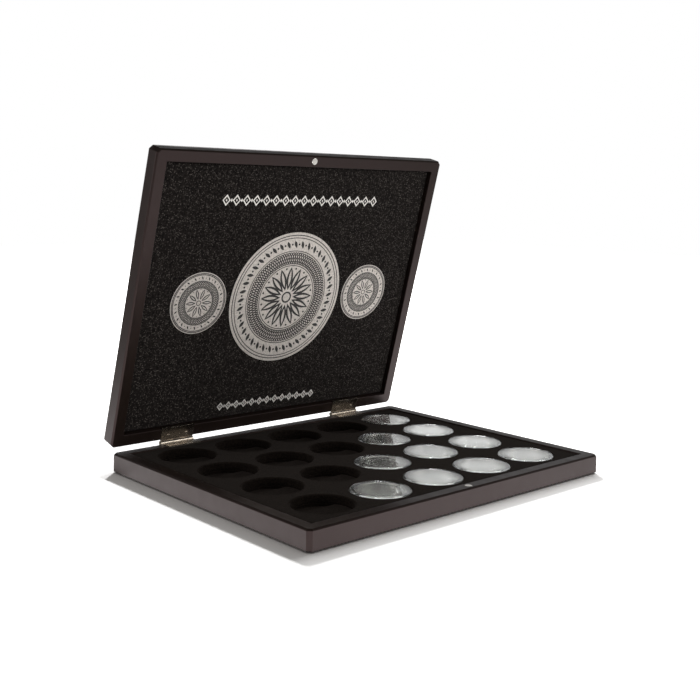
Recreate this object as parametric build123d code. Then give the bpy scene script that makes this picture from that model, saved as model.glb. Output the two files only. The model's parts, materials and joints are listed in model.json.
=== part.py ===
from build123d import *
import os

# Presentation case for coins in round capsules: a black lacquered wooden box in two shallow
# halves, joined by two small butt hinges along the back and held shut by a magnet pair at
# the front. The base holds a flocked tray with round pockets; ten of them hold a coin in a
# clear two-part capsule.
#
# Frame, in mm: X along the hinge side, Y from the front to the hinges, Z up. The origin is
# the centre of the felt under the base. The lid is modelled shut and then turned open.

# --- coins and capsules ---------------------------------------------------------------
coin_diameter = 38.0
coin_thickness = 3.0
coin_rim_width = 1.9            # raised border on both faces
coin_field_depth = 0.25         # the faces lie this far below their border
coin_slip = 0.15                # radial play of the coin in its capsule
coin_headroom = 0.2             # play above the coin
capsule_ring_width = 2.85       # clear border outside the coin
capsule_plate = 1.6             # top and bottom windows
capsule_edge_radius = 0.7
capsule_spigot_width = 1.3      # upright lip of the lower shell, inside the upper one
capsule_spigot_top_gap = 0.4    # between that lip's top and the upper window
capsule_lip_clearance = 0.1     # between the lip and the upper shell
capsule_parting_gap = 0.05      # between the two shells' borders

# --- tray -----------------------------------------------------------------------------
pocket_rows = 4                 # front to back
pocket_columns = 5              # left to right
pocket_clearance = 0.4          # radial play of a capsule in its pocket
pocket_lip_radius = 1.2         # soft edge round each pocket
column_web = 9.2                # tray left between two pockets of a row
row_web = 10.2                  # tray left between two pockets of a column
side_margin = 7.5               # from the outer columns' share of the tray to the side rails
end_margin = 2.5                # the same at the front and back rails
capsule_proud = 0.2             # capsules stand this far above the tray
press_depth = 2.2               # a capsule pressed here tips up on its shelf
press_chord = 10.0              # from a pocket's centre to the edge of its shelf
tray_floor = 2.1                # under the press recess
tray_slip = 0.2                 # between the tray and the rails
tray_drop = 1.0                 # the tray lies this far below the rim
tray_edge_radius = 0.8

# --- wooden case ----------------------------------------------------------------------
rail_width = 10.0
edge_bevel = 1.2                # outer edges of both rims
back_bevel = 1.4                # outer edges of the lid's face
foot_bevel = 0.5                # lower outer edge of the base
inner_bevel = 0.35              # inner edges of both rims
corner_bevel = 2.9              # upright corners
bottom_panel_thickness = 3.0
panel_rebate = 2.5              # the bottom panel reaches this far into the rails
panel_slip = 0.1
lid_panel_thickness = 4.5
lid_recess = 4.0                # from the lid's rim to its lining
lining_thickness = 3.0
lining_board_thickness = 2.0
lining_slip = 0.5               # round the lining and its board
lining_edge_radius = 0.9
felt_thickness = 1.1
felt_overlap = 0.6              # past the bottom panel, over its joint with the rails
felt_corner_radius = 5.0

# --- magnet catch ---------------------------------------------------------------------
magnet_diameter = 6.0
magnet_thickness = 3.0
magnet_proud = 0.15
magnet_slip = 0.05
magnet_bevel = 0.3

# --- hinges ---------------------------------------------------------------------------
hinge_length = 31.0
hinge_inset = 60.5              # from each side of the case to the middle of a hinge
knuckle_count = 5
knuckle_radius = 1.9
knuckle_end_gap = 0.15          # between neighbouring knuckles
knuckle_gap = 0.2               # round the knuckles, to the case and to the other leaf
leaf_thickness = 0.8
leaf_mortise = 0.4              # the leaves are let into the rims by this much
leaf_gap = 0.1                  # between the two leaves of a shut hinge
mortise_slip = 0.15             # at the ends of a leaf
lid_leaf_lip = 1.9              # bent edge on the inner side of the lid's back rail
base_leaf_lip = 0.5             # the same on the base, above the tray
pin_radius = 0.75
pin_clearance = 0.05            # running fit of the pin in the knuckles
pin_head_radius = 1.2
pin_head_thickness = 0.4
screw_end_distance = 7.0        # from a leaf's end to its screw
screw_shank_radius = 0.8
screw_head_radius = 1.5
screw_length = 6.0
screw_slot_width = 0.4
screw_slot_depth = 0.3
open_angle = 75.0               # how far the lid stands open

# --- sizes that follow ----------------------------------------------------------------
coin_radius = coin_diameter / 2
capsule_bore = coin_radius + coin_slip
capsule_radius = capsule_bore + capsule_ring_width
capsule_height = coin_thickness + coin_headroom + 2 * capsule_plate
pocket_radius = capsule_radius + pocket_clearance
column_pitch = 2 * pocket_radius + column_web
row_pitch = 2 * pocket_radius + row_web
shelf_depth = capsule_height - capsule_proud
spigot_radius = capsule_bore + capsule_spigot_width
spigot_top = capsule_height - capsule_plate - capsule_spigot_top_gap

inner_width = pocket_columns * column_pitch + 2 * side_margin
inner_depth = pocket_rows * row_pitch + 2 * end_margin
case_width = inner_width + 2 * rail_width
case_depth = inner_depth + 2 * rail_width
panel_width = inner_width + 2 * (panel_rebate - panel_slip)
panel_depth = inner_depth + 2 * (panel_rebate - panel_slip)
tray_thickness = shelf_depth + press_depth + tray_floor
base_height = bottom_panel_thickness + tray_thickness + tray_drop
lid_height = lid_recess + lining_thickness + lining_board_thickness + lid_panel_thickness
closing_gap = 2 * (leaf_thickness - leaf_mortise) + leaf_gap

base_bottom = felt_thickness
tray_bottom = base_bottom + bottom_panel_thickness
tray_top = tray_bottom + tray_thickness
base_rim = base_bottom + base_height
lid_rim = base_rim + closing_gap
lid_top = lid_rim + lid_height
lid_joint = lid_top - lid_panel_thickness          # where the lid's rails meet its panel
shelf_level = tray_top - shelf_depth

axis_y = case_depth / 2 + knuckle_radius + knuckle_gap
axis_z = base_rim + closing_gap / 2
hinge_axis = Axis((0, axis_y, axis_z), (1, 0, 0))
rail_middle = case_depth / 2 - rail_width / 2      # middle of the back rail; minus, the front
bore_radius = pin_radius + pin_clearance

ON_FLOOR = (Align.CENTER, Align.CENTER, Align.MIN)


# --- helpers --------------------------------------------------------------------------
def block(width, depth, height, level=0.0):
    """An upright block, centred on the case, standing at a level."""
    return Pos(0, 0, level) * Box(width, depth, height, align=ON_FLOOR)


def disc(radius, height, x=0.0, y=0.0, level=0.0):
    return Pos(x, y, level) * Cylinder(radius, height, align=ON_FLOOR)


def span(low, high):
    """A block from its lowest to its highest corner."""
    size = [b - a for a, b in zip(low, high)]
    middle = [(a + b) / 2 for a, b in zip(low, high)]
    return Pos(*middle) * Box(*size)


def turned(profile, x=0.0, y=0.0, level=0.0):
    """A solid of revolution from a closed (radius, height) outline."""
    outline = Plane.XZ * Polyline(*profile, close=True)
    return Pos(x, y, level) * revolve(make_face(outline), Axis.Z)


def top_edges(solid):
    return solid.faces().sort_by(Axis.Z)[-1].edges()


def bottom_edges(solid):
    return solid.faces().sort_by(Axis.Z)[0].edges()


def opened(solid):
    """A piece of the lid, turned from shut to open about the hinge pins."""
    return solid.rotate(hinge_axis, -open_angle)


# --- wooden rails ---------------------------------------------------------------------
def outer_block(height, level):
    """The case's outline, with its upright corners bevelled."""
    body = block(case_width, case_depth, height, level)
    return chamfer(body.edges().filter_by(Axis.Z), corner_bevel)


def mitre_wedges():
    """One plan for each side, cut at 45 degrees at the corners: they part a frame in four."""
    reach = 2 * rail_width
    w, d = case_width / 2, case_depth / 2
    corners = [(-w, -d), (w, -d), (w, d), (-w, d)]
    wedges = {}
    for i, side in enumerate(("front", "right", "back", "left")):
        (ax, ay), (bx, by) = corners[i], corners[(i + 1) % 4]
        plan = [
            (ax, ay),
            (bx, by),
            (bx - reach * (1 if bx > 0 else -1), by - reach * (1 if by > 0 else -1)),
            (ax - reach * (1 if ax > 0 else -1), ay - reach * (1 if ay > 0 else -1)),
        ]
        wedges[side] = make_face(Polyline(*plan, close=True))
    return wedges


def split_in_rails(frame, low, high):
    rails = {}
    for side, plan in mitre_wedges().items():
        rails[side] = frame & (Pos(0, 0, low) * extrude(plan, high - low))
    return rails


def hinge_centres():
    reach = case_width / 2 - hinge_inset
    return {"left": -reach, "right": reach}


def screw_places():
    """(x, y) of every leaf screw of one half of the case."""
    reach = hinge_length / 2 - screw_end_distance
    return [(x + s * reach, rail_middle) for x in hinge_centres().values() for s in (-1, 1)]


def mortise(x, level):
    """Space for a leaf across the back rim, up to the outside."""
    half = hinge_length / 2 + mortise_slip
    inner = case_depth / 2 - rail_width
    return span((x - half, inner - rail_width, level), (x + half, axis_y, level + leaf_mortise))


def base_frame():
    body = outer_block(base_height, base_bottom)
    body = chamfer(top_edges(body), edge_bevel)
    body = chamfer(bottom_edges(body), foot_bevel)
    well = block(inner_width, inner_depth, base_height, base_bottom)
    body -= well
    rim = [e for e in top_edges(body) if abs(e.center().X) < case_width / 2 - rail_width / 2
           and abs(e.center().Y) < case_depth / 2 - rail_width / 2]
    body = chamfer(rim, inner_bevel)
    body -= block(inner_width + 2 * panel_rebate, inner_depth + 2 * panel_rebate,
                  bottom_panel_thickness, base_bottom)
    for x in hinge_centres().values():
        body -= mortise(x, base_rim - leaf_mortise)
    for x, y in screw_places():
        body -= disc(screw_shank_radius, screw_length, x, y,
                     axis_z - leaf_gap / 2 - screw_length)
    body -= disc(magnet_diameter / 2 + magnet_slip, magnet_thickness + magnet_slip, 0,
                 -rail_middle, base_rim + magnet_proud - magnet_thickness - magnet_slip)
    return body


def bottom_panel():
    return block(panel_width, panel_depth, bottom_panel_thickness, base_bottom)


def underside_felt():
    sheet = block(panel_width + 2 * felt_overlap, panel_depth + 2 * felt_overlap, felt_thickness)
    return fillet(sheet.edges().filter_by(Axis.Z), felt_corner_radius)


def lid_body():
    """The whole lid, shut: its face up, bevelled round the face and round the rim."""
    body = outer_block(lid_height, lid_rim)
    body = chamfer(top_edges(body), back_bevel)
    return chamfer(bottom_edges(body), edge_bevel)


def lid_panel():
    return lid_body() & block(case_width, case_depth, lid_panel_thickness, lid_joint)


def lid_frame():
    body = lid_body() - block(inner_width, inner_depth, lid_height, lid_rim)
    rim = [e for e in bottom_edges(body) if abs(e.center().X) < case_width / 2 - rail_width / 2
           and abs(e.center().Y) < case_depth / 2 - rail_width / 2]
    body = chamfer(rim, inner_bevel)
    body &= block(case_width, case_depth, lid_joint - lid_rim, lid_rim)
    for x in hinge_centres().values():
        body -= mortise(x, lid_rim)
    for x, y in screw_places():
        body -= disc(screw_shank_radius, screw_length, x, y, axis_z + leaf_gap / 2)
    body -= disc(magnet_diameter / 2 + magnet_slip, magnet_thickness + magnet_slip, 0,
                 -rail_middle, lid_rim - magnet_proud)
    return body


def lining_board():
    return block(inner_width - 2 * lining_slip, inner_depth - 2 * lining_slip,
                 lining_board_thickness, lid_joint - lining_board_thickness)


def lining():
    pad = block(inner_width - 2 * lining_slip, inner_depth - 2 * lining_slip,
                lining_thickness, lid_rim + lid_recess)
    return fillet(bottom_edges(pad), lining_edge_radius)


def magnet(level):
    body = disc(magnet_diameter / 2, magnet_thickness, 0, -rail_middle, level)
    return chamfer(body.edges(), magnet_bevel)


# --- tray -----------------------------------------------------------------------------
def pocket_centre(row, column):
    x = (column - (pocket_columns - 1) / 2) * column_pitch
    y = (row - (pocket_rows - 1) / 2) * row_pitch
    return x, y


def filled_pockets():
    """The pockets that hold a coin: a staircase towards the front right corner."""
    return [(r, c) for r in range(pocket_rows) for c in range(r + 1, pocket_columns)]


def pocket(row, column):
    """A round shelf for the capsule, and behind a chord the deeper press recess."""
    x, y = pocket_centre(row, column)
    hollow = disc(pocket_radius, shelf_depth, x, y, shelf_level)
    recess = disc(pocket_radius, press_depth, x, y, shelf_level - press_depth)
    behind = span((x - pocket_radius, y + press_chord, shelf_level - press_depth),
                  (x + pocket_radius, y + pocket_radius, shelf_level))
    return hollow + (recess & behind)


def coin_tray():
    body = block(inner_width - 2 * tray_slip, inner_depth - 2 * tray_slip, tray_thickness,
                 tray_bottom)
    body = fillet(top_edges(body), tray_edge_radius)
    for row in range(pocket_rows):
        for column in range(pocket_columns):
            body -= pocket(row, column)
    lips = body.faces().sort_by(Axis.Z)[-1].edges().filter_by(GeomType.CIRCLE)
    return fillet(lips, pocket_lip_radius)


# --- capsules and coins ---------------------------------------------------------------
def lower_shell(x, y):
    parting = capsule_height / 2
    body = turned([(0, 0), (capsule_radius, 0), (capsule_radius, parting),
                   (spigot_radius, parting), (spigot_radius, spigot_top),
                   (capsule_bore, spigot_top), (capsule_bore, capsule_plate),
                   (0, capsule_plate)], x, y, shelf_level)
    return fillet(bottom_edges(body), capsule_edge_radius)


def upper_shell(x, y):
    parting = capsule_height / 2 + capsule_parting_gap
    socket = spigot_radius + capsule_lip_clearance
    step = spigot_top + capsule_lip_clearance
    under = capsule_height - capsule_plate
    body = turned([(0, capsule_height), (capsule_radius, capsule_height),
                   (capsule_radius, parting), (socket, parting), (socket, step),
                   (capsule_bore, step), (capsule_bore, under), (0, under)],
                  x, y, shelf_level)
    return fillet(top_edges(body), capsule_edge_radius)


def coin(x, y):
    body = disc(coin_radius, coin_thickness, x, y, shelf_level + capsule_plate)
    field = coin_radius - coin_rim_width
    body -= disc(field, coin_field_depth, x, y, shelf_level + capsule_plate)
    body -= disc(field, coin_field_depth, x, y,
                 shelf_level + capsule_plate + coin_thickness - coin_field_depth)
    return body


# --- hinges ---------------------------------------------------------------------------
def knuckle_length():
    return (hinge_length - (knuckle_count - 1) * knuckle_end_gap) / knuckle_count


def knuckle_starts(x, first):
    """Left ends of every second knuckle of a hinge centred at x."""
    step = knuckle_length() + knuckle_end_gap
    return [x - hinge_length / 2 + i * step for i in range(first, knuckle_count, 2)]


def along_pin(radius, start, length):
    """A round bar on the hinge axis."""
    turn = Rot(0, 90, 0) * Cylinder(radius, length, align=ON_FLOOR)
    return Pos(start, axis_y, axis_z) * turn


def leaf(x, side, first, lip):
    """One leaf: side is -1 for the base's, below the axis, and 1 for the lid's, above it."""
    near, far = leaf_gap / 2, leaf_gap / 2 + leaf_thickness
    bottom, top = sorted((axis_z + side * near, axis_z + side * far))
    left, right = x - hinge_length / 2, x + hinge_length / 2
    inner = case_depth / 2 - rail_width
    back = axis_y - knuckle_radius - knuckle_gap
    body = span((left, inner - leaf_thickness, bottom), (right, back, top))
    low, high = sorted((axis_z + side * near, axis_z + side * (far + lip)))
    body += span((left, inner - leaf_thickness, low), (right, inner, high))
    for start in knuckle_starts(x, first):
        body += span((start, back, bottom), (start + knuckle_length(), axis_y, top))
        body += along_pin(knuckle_radius, start, knuckle_length())
    body -= along_pin(bore_radius, left, hinge_length)
    for sx, sy in screw_places():
        if abs(sx - x) < hinge_length / 2:
            body -= screw_body(sx, sy, side, slotted=False)
    return body


def screw_body(x, y, side, slotted=True):
    """A countersunk wood screw, its head level with the leaf's face nearest the axis."""
    face = leaf_gap / 2
    cone = screw_head_radius - screw_shank_radius
    profile = [(0, face), (screw_head_radius, face), (screw_shank_radius, face + cone),
               (screw_shank_radius, screw_length + face), (0, screw_length + face)]
    body = turned([(r, side * h) for r, h in profile], x, y, axis_z)
    if slotted:
        half = screw_slot_width / 2
        near, far = sorted((axis_z + side * face, axis_z + side * (face + screw_slot_depth)))
        body -= span((x - screw_head_radius, y - half, near), (x + screw_head_radius, y + half, far))
    return body


def hinge_pin(x):
    body = along_pin(pin_radius, x - hinge_length / 2, hinge_length)
    body += along_pin(pin_head_radius, x - hinge_length / 2 - pin_head_thickness,
                      pin_head_thickness)
    body += along_pin(pin_head_radius, x + hinge_length / 2, pin_head_thickness)
    return body


def screws(side):
    return Compound(children=[screw_body(x, y, side) for x, y in screw_places()])


# --- the whole case -------------------------------------------------------------------
def build_parts():
    nodes = {}
    for side, rail in split_in_rails(base_frame(), base_bottom, base_rim).items():
        nodes[f"base_{side}_rail"] = rail
    nodes["base_bottom_panel"] = bottom_panel()
    nodes["underside_felt"] = underside_felt()
    nodes["coin_tray"] = coin_tray()
    nodes["base_magnet"] = magnet(base_rim + magnet_proud - magnet_thickness)

    for side, rail in split_in_rails(lid_frame(), lid_rim, lid_joint).items():
        nodes[f"lid_{side}_rail"] = opened(rail)
    nodes["lid_panel"] = opened(lid_panel())
    nodes["lid_lining_board"] = opened(lining_board())
    nodes["lid_lining"] = opened(lining())
    nodes["lid_magnet"] = opened(magnet(lid_rim - magnet_proud))

    for name, x in hinge_centres().items():
        nodes[f"{name}_hinge_base_leaf"] = leaf(x, -1, 0, base_leaf_lip)
        nodes[f"{name}_hinge_lid_leaf"] = opened(leaf(x, 1, 1, lid_leaf_lip))
        nodes[f"{name}_hinge_pin"] = hinge_pin(x)
    nodes["base_hinge_screws"] = screws(-1)
    nodes["lid_hinge_screws"] = opened(screws(1))

    for number, (row, column) in enumerate(filled_pockets(), start=1):
        x, y = pocket_centre(row, column)
        nodes[f"capsule_{number:02d}_lower_shell"] = lower_shell(x, y)
        nodes[f"capsule_{number:02d}_upper_shell"] = upper_shell(x, y)
        nodes[f"coin_{number:02d}"] = coin(x, y)
    return nodes


os.makedirs("parts", exist_ok=True)
for node_name, solid in build_parts().items():
    export_step(solid, f"parts/{node_name}.step")
print(f"case {case_width:.1f} x {case_depth:.1f} x {lid_top:.1f} mm shut")
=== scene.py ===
# %% [markdown]
# # A presentation case for coins, dressed for the camera
# The frame is a finished model of the case: lacquered wooden halves, a flocked tray, capsules with
# coins, small butt hinges and a magnet catch. Its pieces have their true size and place, and a body
# each that moves them. This script gives every piece the surface and the fine shape that the eye
# expects: rounded edges, pile, minted relief, clear plastic. Nothing is moved or resized.

import json
import math
import random

import bmesh
import bpy
from mathutils import Matrix, Vector, noise


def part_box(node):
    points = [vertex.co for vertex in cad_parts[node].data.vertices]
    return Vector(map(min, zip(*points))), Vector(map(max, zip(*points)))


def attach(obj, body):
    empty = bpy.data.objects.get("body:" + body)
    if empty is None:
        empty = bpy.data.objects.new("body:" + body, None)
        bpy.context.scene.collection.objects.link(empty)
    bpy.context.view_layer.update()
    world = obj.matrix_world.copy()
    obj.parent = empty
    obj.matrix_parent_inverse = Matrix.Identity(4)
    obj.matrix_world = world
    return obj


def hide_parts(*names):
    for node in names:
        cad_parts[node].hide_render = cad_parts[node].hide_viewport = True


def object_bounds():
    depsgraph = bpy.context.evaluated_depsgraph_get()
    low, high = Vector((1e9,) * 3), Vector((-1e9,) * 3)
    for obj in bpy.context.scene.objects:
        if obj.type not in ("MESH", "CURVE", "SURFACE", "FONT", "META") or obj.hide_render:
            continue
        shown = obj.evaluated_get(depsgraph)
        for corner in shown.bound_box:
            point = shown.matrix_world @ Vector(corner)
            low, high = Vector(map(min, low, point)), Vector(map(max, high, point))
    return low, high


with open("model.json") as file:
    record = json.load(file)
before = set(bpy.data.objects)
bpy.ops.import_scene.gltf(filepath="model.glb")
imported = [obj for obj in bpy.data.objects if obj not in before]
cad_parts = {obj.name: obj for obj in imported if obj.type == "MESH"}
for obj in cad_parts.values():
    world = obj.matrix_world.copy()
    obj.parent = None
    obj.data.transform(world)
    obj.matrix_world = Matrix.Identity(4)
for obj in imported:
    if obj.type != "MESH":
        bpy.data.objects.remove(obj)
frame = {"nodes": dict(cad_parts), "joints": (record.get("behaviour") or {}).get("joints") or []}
cad_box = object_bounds()
MM = 0.001

# %% [markdown]
# ## Where things are
# The lid lies flat when it is shut, and a flat piece is easy to model. So each piece of the lid is
# made shut, in plain coordinates, and its mesh is then turned about the hinge pins to where the lid
# stands. The pins' place, their direction and the opening angle come from the frame's own joint.

# %% Hinge axis and the places of capsules and pockets
hinge = next(j for j in frame["joints"] if j["name"] == "lid_hinge")
hinge_point = Matrix.Translation(Vector(hinge["pos_m"]))
open_angle = -math.radians(hinge["range_deg"][0])
OPENED = hinge_point @ Matrix.Rotation(open_angle, 4,
    Vector(hinge["axis"])) @ hinge_point.inverted()
SHUT = OPENED.inverted()


def middle_of(node):
    low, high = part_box(node)
    return (low + high) / 2


def shut_box(node):
    """Lowest and highest corner of a node of the lid, as it lies when shut."""
    points = [SHUT @ v.co for v in frame["nodes"][node].data.vertices]
    return (Vector([min(p[i] for p in points) for i in range(3)]),
            Vector([max(p[i] for p in points) for i in range(3)]))


CAPSULES = [f"capsule_{n:02d}" for n in range(1, 11)]
first, last = (middle_of(f"capsule_{n}_lower_shell") for n in ("01", "10"))
PITCH_X, PITCH_Y = (last.x - first.x) / 3, (last.y - first.y) / 3
COLUMNS, ROWS = 5, 4
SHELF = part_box("capsule_01_lower_shell")[0].z
CAPSULE_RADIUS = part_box("capsule_01_lower_shell")[1].x - first.x
CAPSULE_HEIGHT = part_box("capsule_01_upper_shell")[1].z - SHELF
print(f"pockets every {PITCH_X / MM:.1f} by {PITCH_Y / MM:.1f} mm, capsules {CAPSULE_RADIUS * 2 / MM:.1f} mm")

# %% [markdown]
# ## Two helpers
# Every material and every Geometry Nodes tree is a set of nodes with settings and links. One small
# function adds a node: keyword settings are the node's own properties, and `inputs` are its sockets,
# each given a value or the output of another node. Colours are written as the sRGB hex values of a
# paint chart, and one function turns them into the linear light that the renderer adds up.

# %% Adding nodes and reading colours
def add_node(tree, kind, inputs=None, **settings):
    new = tree.nodes.new(kind)
    for name, value in settings.items():
        setattr(new, name, value)
    for key, value in (inputs or {}).items():
        if isinstance(value, bpy.types.NodeSocket):
            tree.links.new(value, new.inputs[key])
        else:
            new.inputs[key].default_value = value
    return new


def linear(hex_code):
    """An sRGB colour such as "#2B2725" as linear red, green, blue and full alpha."""
    parts = [int(hex_code[i:i + 2], 16) / 255 for i in (1, 3, 5)]
    return tuple(c / 12.92 if c <= 0.04045 else ((c + 0.055) / 1.055) ** 2.4
        for c in parts) + (1.0,)


# %% [markdown]
# ## The camera
# A case like this is shown from its front left corner, hardly above the table, so that the lid's
# print and the tray both show. The view camera looks almost level and its frame is shifted down:
# that keeps upright edges upright, as an architect's lens does.

# %% Camera
camera_place = Vector((-569.3, -622.9, 227.3)) * MM
camera_turn = 42.764          # degrees to the right of straight ahead (+Y)
camera_tilt = -1.588          # degrees above level
camera_roll = 1.174
camera_data = bpy.data.cameras.new("camera")
camera_data.sensor_width = 36.0
camera_data.lens = 54.43
camera_data.shift_x, camera_data.shift_y = -0.0288, -0.1869
camera_data.clip_start, camera_data.clip_end = 0.01, 50.0
camera = bpy.data.objects.new("camera", camera_data)
camera.matrix_world = (
    Matrix.Translation(camera_place)
    @ Matrix.Rotation(-math.radians(camera_turn), 4, "Z")
    @ Matrix.Rotation(math.radians(90 + camera_tilt), 4, "X")
    @ Matrix.Rotation(math.radians(camera_roll), 4, "Z")
)
bpy.context.scene.collection.objects.link(camera)
bpy.context.scene.camera = camera
bpy.context.scene.view_settings.view_transform = "Standard"
print("camera stands", round(camera_place.length, 3), "m from the case")

# %% [markdown]
# ## Light, floor and background
# The case stands on a white table in front of a white wall, under a dark ceiling. Light comes from
# low down and all round, which is why black lacquer looks grey on its sides, where it mirrors the
# bright table, and black on its rims, where it mirrors the black lid or the dark above. One key lamp
# at the back right gives the narrow shadow its direction.
# The background is white for the camera. What a surface mirrors is a little dimmer, gets darker from
# the horizon up, and is darkest at the back left, where the studio's white ends. The light that
# falls on the case is set apart, and is weakest from low down, which keeps the line where the case
# meets the table dark. The light from below is for whoever takes the table away to see the felt.

# %% World
FILL_HORIZON = 0.08           # light from all round, at the horizon
FILL_ABOVE = 0.22             # and from above
FILL_BELOW = 0.8              # and from below, where the table keeps it out
MIRROR_HORIZON = 0.60         # how bright the walls look in lacquer, silver and plastic
MIRROR_CEILING = 0.05         # and the ceiling
DARK_SIDE = (-0.80, 0.60, 0.0)
world = bpy.data.worlds.new("white_studio")
world.use_nodes = True
sky = world.node_tree
sky.nodes.clear()
direction = add_node(sky, "ShaderNodeTexCoord")
height = add_node(sky, "ShaderNodeSeparateXYZ", {0: direction.outputs["Generated"]})
dimming = add_node(sky, "ShaderNodeMapRange", {
    "Value": height.outputs["Z"], "From Min": 0.20, "From Max": 0.62, "To Min": MIRROR_HORIZON,
    "To Max": MIRROR_CEILING})
towards = add_node(sky, "ShaderNodeVectorMath", {0: direction.outputs["Generated"], 1: DARK_SIDE},
                   operation="DOT_PRODUCT")
curtain = add_node(sky, "ShaderNodeMapRange", {
    "Value": towards.outputs["Value"], "From Min": 0.35, "From Max": 0.90, "To Min": 1.0,
    "To Max": 0.25})
mirrored = add_node(sky, "ShaderNodeMath", {0: dimming.outputs[0], 1: curtain.outputs[0]},
                    operation="MULTIPLY")
falling = add_node(sky, "ShaderNodeMapRange", {
    "Value": height.outputs["Z"], "From Min": 0.10, "From Max": 0.60, "To Min": FILL_HORIZON,
    "To Max": FILL_ABOVE})
rising = add_node(sky, "ShaderNodeMapRange", {
    "Value": height.outputs["Z"], "From Min": -0.40, "From Max": -0.10, "To Min": FILL_BELOW,
    "To Max": 0.0})
all_round = add_node(sky, "ShaderNodeMath", {
    0: falling.outputs[0], 1: rising.outputs[0]}, operation="MAXIMUM")
ray = add_node(sky, "ShaderNodeLightPath")
sharp = add_node(sky, "ShaderNodeMath", {
    0: ray.outputs["Is Glossy Ray"], 1: ray.outputs["Is Transmission Ray"]}, operation="MAXIMUM")
fill = add_node(sky, "ShaderNodeBackground", {
    "Color": linear("#FFFCF8"), "Strength": all_round.outputs[0]})
walls = add_node(sky, "ShaderNodeBackground", {
    "Color": (1.0, 1.0, 1.0, 1.0), "Strength": mirrored.outputs[0]})
backdrop = add_node(sky, "ShaderNodeBackground", {"Color": (1.0, 1.0, 1.0, 1.0), "Strength": 1.0})
lit = add_node(sky, "ShaderNodeMixShader", {
    0: sharp.outputs[0], 1: fill.outputs[0], 2: walls.outputs[0]})
pick = add_node(sky, "ShaderNodeMixShader", {
    0: ray.outputs["Is Camera Ray"], 1: lit.outputs[0], 2: backdrop.outputs[0]})
add_node(sky, "ShaderNodeOutputWorld", {"Surface": pick.outputs[0]})
bpy.context.scene.world = world


# %% [markdown]
# A lamp is described by where it stands, what it points at and how wide it is. A wide lamp close by
# gives soft shadows; a small one far off gives crisp ones.

# %% Lamps
def soft_lamp(name, place, aim, width, height, watts):
    data = bpy.data.lights.new(name, "AREA")
    data.shape, data.size, data.size_y = "RECTANGLE", width, height
    data.energy = watts
    lamp = bpy.data.objects.new(name, data)
    lamp.location = place
    lamp.rotation_euler = (Vector(aim) - Vector(place)).to_track_quat("-Z", "Y").to_euler()
    bpy.context.scene.collection.objects.link(lamp)
    return lamp


CASE_MIDDLE = (0.0, 0.0, 0.02)
key_lamp = soft_lamp("key_back_right", (1.05, 1.20, 1.24), CASE_MIDDLE, 0.16, 0.16, 23.0)
side_strip = soft_lamp("strip_right", (1.05, 0.45, 1.15), (0.0, 0.45, 0.02), 0.16, 1.5, 11.5)
side_strip.rotation_euler = (0.0, math.atan2(1.05, 1.13), 0.0)   # its long side along the case
panels = [soft_lamp("panel_left", (-1.3, 0.45, 0.40), CASE_MIDDLE, 1.0, 0.5, 5.0),
          soft_lamp("panel_front", (0.75, -1.3, 0.45), CASE_MIDDLE, 1.0, 0.5, 6.5)]
lining_lamp = soft_lamp("front_softbox", (-0.2, -1.3, 0.75), (0.0, 0.12, 0.12), 1.0, 1.0, 8.0)
overhead = soft_lamp("overhead_softbox", (0.15, 0.20, 0.80), CASE_MIDDLE, 1.4, 1.4, 9.5)
behind_coins = soft_lamp("softbox_behind_the_coins", (0.66, 0.63, 0.65), CASE_MIDDLE, 0.9, 0.5, 0.6)
glint_lamps = [soft_lamp("glint_behind", (0.60, 0.55, 1.15), CASE_MIDDLE, 0.25, 0.25, 4.0),
               soft_lamp("glint_in_front", (-0.55, -0.60, 1.20), CASE_MIDDLE, 0.25, 0.25, 4.0)]
tray_lamp = soft_lamp("softbox_over_the_tray", (0.0, 0.0, 0.90), CASE_MIDDLE, 0.5, 0.5, 2.2)
behind_lid = soft_lamp("softbox_behind_the_lid", (0.45, 1.30, 0.75), (0.0, 0.16, 0.12), 1.2, 0.8,
    4.0)

# %% [markdown]
# A black lid that faces the key lamp would mirror it in every rim, and its shadow would cover half
# the table. A studio puts small black flags in the way. Here that is said directly, by lists of what
# each lamp lights: the two back lamps light the table, and only the base and what lies in it stop
# their light. The lining with its print, the coins, the edges of the capsules, the tray and the
# outside of the lid each have a softbox of their own, so that one can be dimmed and not the others.
# The one behind the coins shines through the lid, which is where a silver coin needs a light to
# mirror when it is seen from low down.

# %% What each lamp lights, and what casts a shadow
def light_list(name, *lamps):
    """A list of what these lamps light; pieces are put on it as they are made."""
    pieces = bpy.data.collections.new(name)
    for lamp in lamps:
        lamp.light_linking.receiver_collection = pieces
    return pieces


shadow_casters = bpy.data.collections.new("base_and_contents")
for lamp in (key_lamp, side_strip, behind_coins):
    lamp.light_linking.blocker_collection = shadow_casters
table = light_list("table", key_lamp, side_strip)
whole_case = light_list("whole_case", *panels)
lid_outside = light_list("outside_of_the_lid", behind_lid)
lining_and_print = light_list("lining_and_print", lining_lamp)
coins_and_capsules = light_list("coins_and_capsules", overhead, behind_coins)
capsules_alone = light_list("capsules", *glint_lamps)
LISTS_BY_SLOT = {
    "velvet_lining": [lining_and_print],
    "flocked_tray": [light_list("tray", tray_lamp)],
    "silver_coin": [coins_and_capsules],
    "clear_capsule": [coins_and_capsules, capsules_alone],
}
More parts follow.
